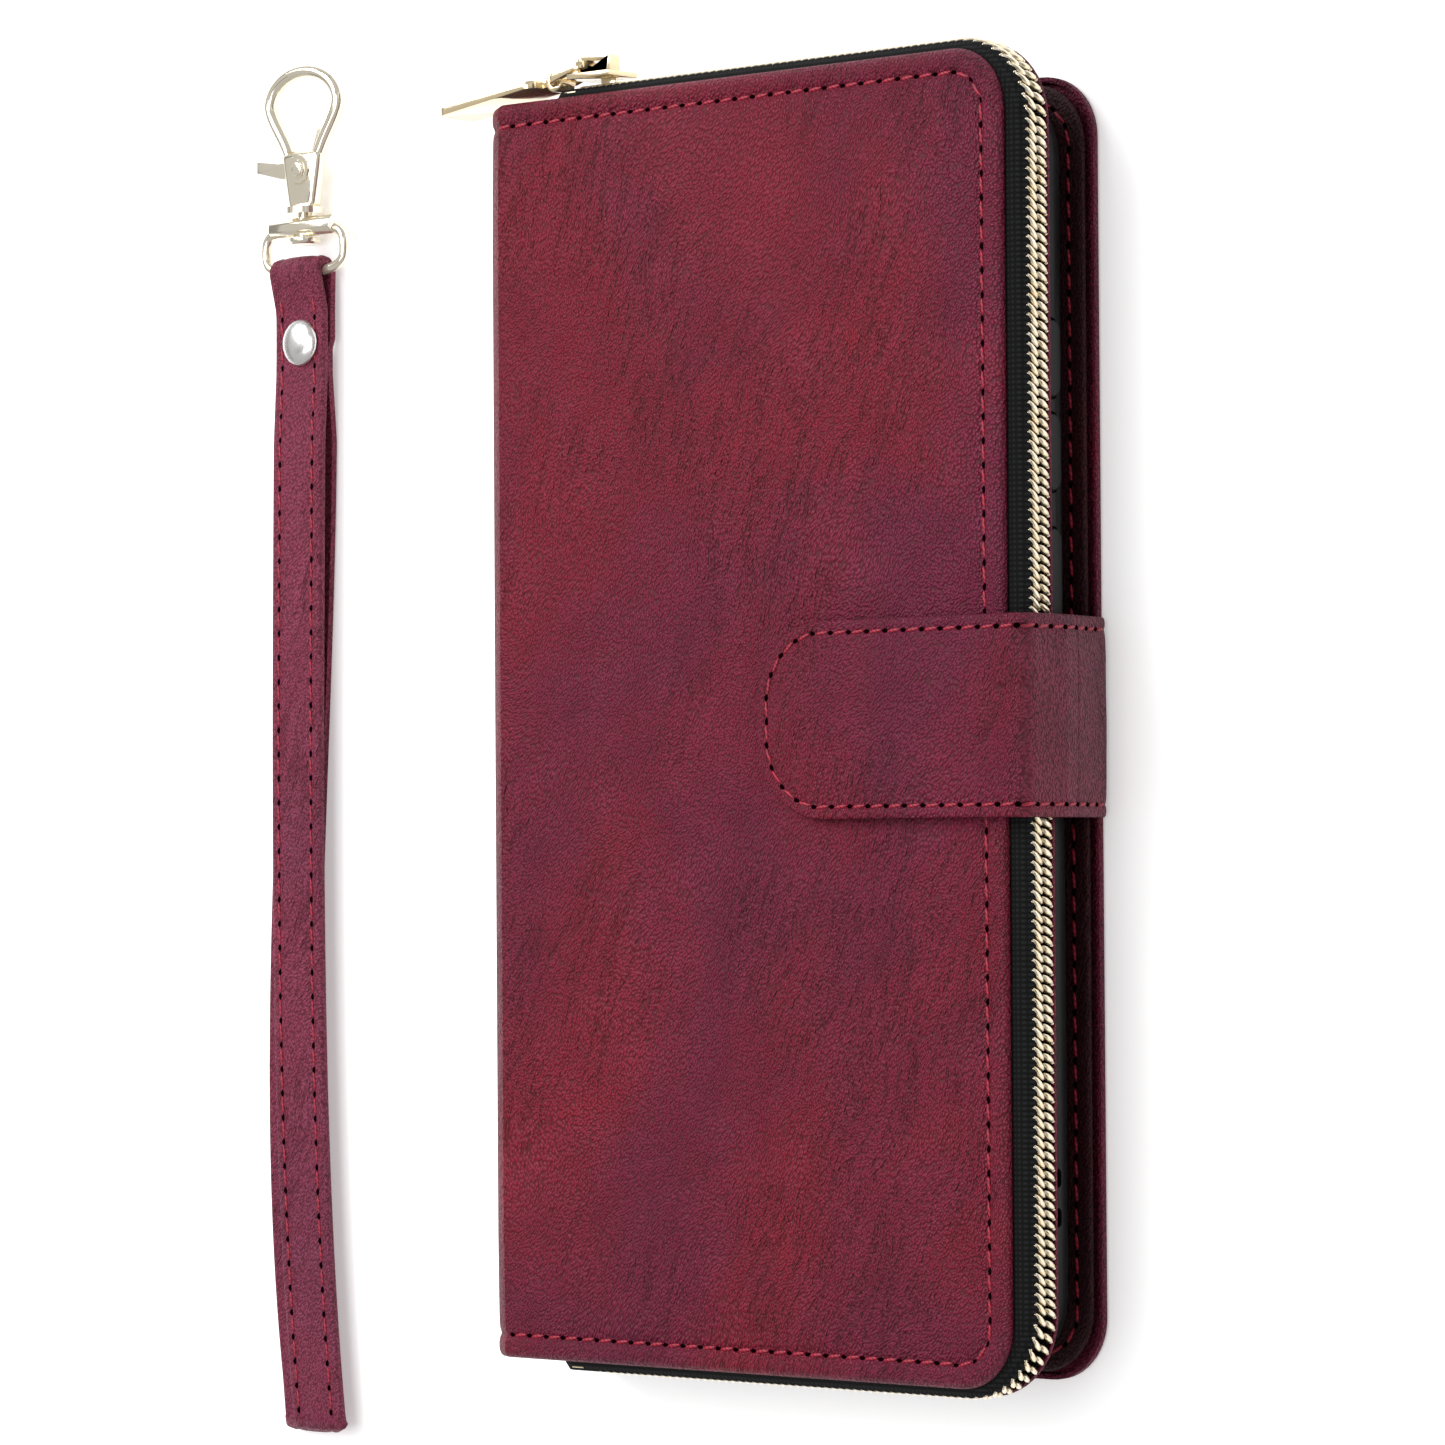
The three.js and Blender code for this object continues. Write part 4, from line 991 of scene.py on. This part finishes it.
def on_band(s, x, h):
    """A place h above the band's outer face, s along it and x across."""
    s = s % band_length
    index = next(i for i in range(len(band_line)) if s <= band_steps[i + 1])
    share = (s - band_steps[index]) / max(1e-9, band_steps[index + 1] - band_steps[index])
    count = len(band_line)
    place = band_line[index].lerp(band_line[(index + 1) % count], share)

    def heading(i):
        return (band_line[(i + 1) % count] - band_line[(i - 1) % count]).normalized()
    way = heading(index).lerp(heading(index + 1), share).normalized()
    out = Vector((1, 0, 0)).cross(way) * -1
    down = max(0.0, min(1.0, (rivet_y - place.y) / (rivet_y - band_low.y)))
    front_shift = -0.9 * math.sin(down * math.pi * 0.9) + 3.4 * down ** 5
    back_shift = -0.5 - 4.4 * math.sin(min(1.0, down * 1.05) * math.pi * 0.62) ** 2 + 3.0 * down ** 6
    layer = max(0.0, min(1.0, (place.z - 1.2) / 2.4))
    shift = (front_shift * layer + back_shift * (1 - layer)) if place.y < rivet_y else 0.0
    return Vector((band_x + x + shift, place.y, place.z)) + out * h, way, out


band_section = [(0, -0.45), (0.12, -0.25), (0.35, -0.08), (0.8, 0.0), (1.3, -0.02), (1.6, -0.12),
                (1.9, -0.02), (2.8, 0.08), (100.0, 0.12)]
band_rows = [0, 0.12, 0.35, 0.8, 1.3, 1.6, 1.9, 2.8]
bm = bmesh.new()
count = round(band_length / 1.2)
corner_cut = 0.1
under_inset = 0.5
strips = []
profile = [(-band_half + d, read_section(band_section, d)) for d in band_rows]
profile += [(0.0, 0.12)] + [(-x, h) for x, h in reversed(profile)]
profile += [(band_half - corner_cut, -band_thick + corner_cut), (band_half - under_inset, -band_thick),
            (-band_half + under_inset, -band_thick), (-band_half + corner_cut, -band_thick + corner_cut)]
for index in range(count):
    s = band_length * index / count
    loop = [bm.verts.new(on_band(s, x, h)[0]) for x, h in profile]
    strips.append([bm.edges.new(pair) for pair in zip(loop, loop[1:] + loop[:1])])
for before, after in zip(strips, strips[1:] + strips[:1]):
    bmesh.ops.bridge_loops(bm, edges=before + after)
wrist_band = add_to_scene(bm, "wrist_strap_leather", wrist_leather, "wrist_strap", sharp_angle=50)
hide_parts("wrist_band")
band_stations = []
band_pitch = 3.4
band_stitch_inset = 1.6
for side in (-1, 1):
    for index in range(int(band_length / band_pitch)):
        s = (index + 0.5) * band_pitch
        place, way, out = on_band(s, side * (band_half - band_stitch_inset), -0.06)
        if band_low.y + 3.5 < place.y < rivet_y + 8:
            band_stations.append((place, way, out))
wrist_stitches = sew("wrist_strap_stitches", band_stations, "wrist_strap", band_pitch, fine_thread_radius)


# ---- Metal fittings ----
# Die-cast and plated: polished gold slider, ring and tab, paler gold hook and ring, and a
# nickel rivet. Edges are broken and the plating is very slightly uneven.
def plated_finish(name, bright, deep, low_rough, high_rough):
    finish, tree, shader = new_finish(name, Metallic=0.78)
    cloud = speckle(tree, 160.0, Detail=4.0)
    tint(tree, shader, cloud, deep, bright)
    tree.links.new(spread(tree, cloud, 0.3, 0.7, low_rough, high_rough), shader.inputs["Roughness"])
    emboss(tree, shader, speckle(tree, 1400.0, Detail=2.0), 0.12, 0.00002)
    return finish


gold_plate = plated_finish("gold_plate", (0.90, 0.76, 0.50), (0.80, 0.64, 0.40), 0.09, 0.17)
pale_gold_plate = plated_finish("pale_gold_plate", (0.92, 0.86, 0.72), (0.84, 0.76, 0.60), 0.06, 0.13)
nickel_plate = plated_finish("nickel_plate", (0.82, 0.81, 0.80), (0.70, 0.69, 0.68), 0.20, 0.30)
for name, node, body, width in (
        ("zip_slider", "slider_body", "slider", 0.22),
        ("slider_crown_metal", "slider_crown", "slider", 0.18),
        ("pull_link", "pull_ring", "ring", 0.2),
        ("pull_tab_plate", "pull_tab", "tab", 0.22),
        ("zip_top_stop_metal", "zip_top_stop", "pouch", 0.15),
        ("zip_bottom_stop_metal", "zip_bottom_stop", "pouch", 0.15)):
    rounded_copy(name, [node], gold_plate, body, width)
for name, node, body, width in (
        ("swivel_pin_metal", "swivel_pin", "hook", 0.12), ("hook_gate", "gate_lever", "gate", 0.3),
        ("gate_rivet", "gate_pin", "hook", 0.15)):
    rounded_copy(name, [node], pale_gold_plate, body, width, 3)


def bent_wire(bm, path, radius, depth):
    """A closed wire of oval section along a flat path."""
    middle = sum(path, Vector()) / len(path)
    loops = []
    for index, point in enumerate(path):
        way = (path[(index + 1) % len(path)] - path[index - 1]).normalized()
        out = way.cross(Vector((0, 0, 1)))
        if out.dot(point - middle) < 0:
            out.negate()
        turn = Matrix((out, Vector((0, 0, 1)), out.cross(Vector((0, 0, 1))))).transposed().to_4x4()
        ring = bmesh.ops.create_circle(bm, cap_ends=False, segments=12, radius=1.0, matrix=(
            Matrix.Translation(point) @ turn @ Matrix.Diagonal((radius, depth, 1, 1))))["verts"]
        loops.append(list({edge for vertex in ring for edge in vertex.link_edges}))
    for before, after in zip(loops, loops[1:] + loops[:1]):
        bmesh.ops.bridge_loops(bm, edges=before + after)


def cast_block(bm, middle, half_sizes, width, waist):
    """A block with rounded edges, whose lower end is a share as wide as its upper end."""
    block = bmesh.ops.create_cube(bm, size=2.0)["verts"]
    bmesh.ops.scale(bm, vec=half_sizes, verts=block)
    bmesh.ops.scale(bm, vec=(waist, 1, 1), verts=[v for v in block if v.co.y < 0])
    bmesh.ops.translate(bm, vec=middle, verts=block)
    edges = list({edge for vertex in block for edge in vertex.link_edges})
    bmesh.ops.bevel(bm, geom=edges, offset=width, segments=3, profile=0.5, affect="EDGES",
                    clamp_overlap=True, material=-1)


hook_low, hook_high = corners_of("hook_body")
pin_low, pin_high = corners_of("gate_pin")
pivot = (pin_low + pin_high) / 2
hook_x = pivot.x
hook_z = (hook_low.z + hook_high.z) / 2
hook_half = hook_high.x - hook_x - 0.55
shoulder_y = hook_high.y - 5.6
hook_foot_half = 2.7
foot_y = pivot.y + 1.6


def hook_side(side, share):
    """A place on one side of the hook's wire, from its shoulder (0) in to its foot (1)."""
    ease = share * share * (3 - 2 * share) * 0.55 + share * 0.45
    return Vector((hook_x + side * (hook_half + (hook_foot_half - hook_half) * ease),
                   shoulder_y + (foot_y - shoulder_y) * share, hook_z))


bm = bmesh.new()
path = []
for index in range(25):
    turn = math.pi * (index / 24 - 0.5)
    path.append(Vector((hook_x + hook_half * math.sin(turn),
                        shoulder_y + (hook_high.y - 0.85 - shoulder_y) * math.cos(turn), hook_z)))
path += [hook_side(1, index / 9) for index in range(1, 10)]
path += [hook_side(-1, index / 9) for index in range(9, 0, -1)]
bent_wire(bm, path, 0.95, 1.0)
body_top = pivot.y + 2.6
body_foot = hook_low.y + 0.7
cast_block(bm, Vector((hook_x, (body_top + body_foot) / 2, hook_z)),
           (3.9, (body_top - body_foot) / 2, 1.2), 0.9, 0.62)
for radius, height in ((2.0, 1.45), (1.25, 1.6)):
    bmesh.ops.create_cone(bm, cap_ends=True, segments=32, radius1=radius + 0.2, radius2=radius,
                          depth=0.5, matrix=Matrix.Translation((pivot.x, pivot.y, hook_z + height - 0.25)))
bmesh.ops.create_cone(bm, cap_ends=True, segments=32, radius1=2.7, radius2=2.7, depth=0.9, matrix=(
    Matrix.Translation((hook_x, hook_low.y + 0.55, hook_z)) @ Matrix.Rotation(math.pi / 2, 4, "X")))
hook_loop = add_to_scene(bm, "hook_loop", pale_gold_plate, "hook", sharp_angle=35)
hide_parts("hook_body")

bm = bmesh.new()
ring_x = (ring_low.x + ring_high.x) / 2
ring_half = (ring_high.x - ring_low.x) / 2
ring_wire = 0.72
corner_fullness = 0.62
barrel_y = ring_high.y - 1.4
barrel_radius = 1.5
barrel_length = 12.2
ring_path = []
for index in range(48):
    turn = 2 * math.pi * index / 48
    wide, tall = math.cos(turn), math.sin(turn)
    ring_path.append(Vector((
        ring_x + (ring_half - 0.75) * math.copysign(abs(wide) ** corner_fullness, wide),
        (bar_y + barrel_y) / 2
        + (barrel_y - bar_y) / 2 * math.copysign(abs(tall) ** corner_fullness, tall),
        bar_z)))
bent_wire(bm, ring_path, ring_wire, ring_wire)
barrel_place = (Matrix.Translation((ring_x, barrel_y, bar_z)) @ Matrix.Rotation(math.pi / 2, 4, "Y")
                @ Matrix.Rotation(math.pi / 8, 4, "Z"))
barrel = bmesh.ops.create_cone(bm, cap_ends=True, segments=8, radius1=barrel_radius,
                               radius2=barrel_radius, depth=barrel_length, matrix=barrel_place)["verts"]
bmesh.ops.bevel(bm, geom=list({e for v in barrel for e in v.link_edges}), offset=0.18, segments=2,
                profile=0.5, affect="EDGES", clamp_overlap=True, material=-1)
ring_metal = add_to_scene(bm, "ring_and_barrel", pale_gold_plate, "clasp_ring", sharp_angle=35)
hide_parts("d_ring")
rounded_copy("rivet_dome", ["rivet_cap"], nickel_plate, "wrist_strap", 0.05)
rounded_copy("rivet_foot", ["rivet_back"], nickel_plate, "wrist_strap", 0.15)

# ---- Inner sheets, boards, cloth linings and magnets ----
# What shows only when the cover or flap is opened: card slots and bill pocket in lining
# leather, black cloth inside the pouch, grey boards and plated magnets.
board_finish, board_tree, board_shader = new_finish("grey_board", Roughness=0.95)
board_fibre = speckle(board_tree, 900.0, Detail=4.0)
tint(board_tree, board_shader, board_fibre, (0.30, 0.28, 0.24), (0.46, 0.43, 0.38))
magnet_finish = plated_finish("magnet_plate", (0.5, 0.5, 0.52), (0.36, 0.37, 0.39), 0.35, 0.5)
for nodes, finish in (
        (("back_board", "spine_board", "inner_board", "outer_board"), board_finish),
        (("inner_lining", "outer_lining", "pocket_divider", "pouch_gusset"), tape_finish),
        (("card_slot_1", "card_slot_2", "card_slot_3", "bill_pocket", "spine_lining"), lining_leather),
        (("closure_root",), burgundy_leather),
        (("panel_magnet", "flap_magnet"), magnet_finish),
        (("gate_spring",), nickel_plate)):
    for node in nodes:
        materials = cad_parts[node].data.materials
        materials.clear()
        materials.append(finish)
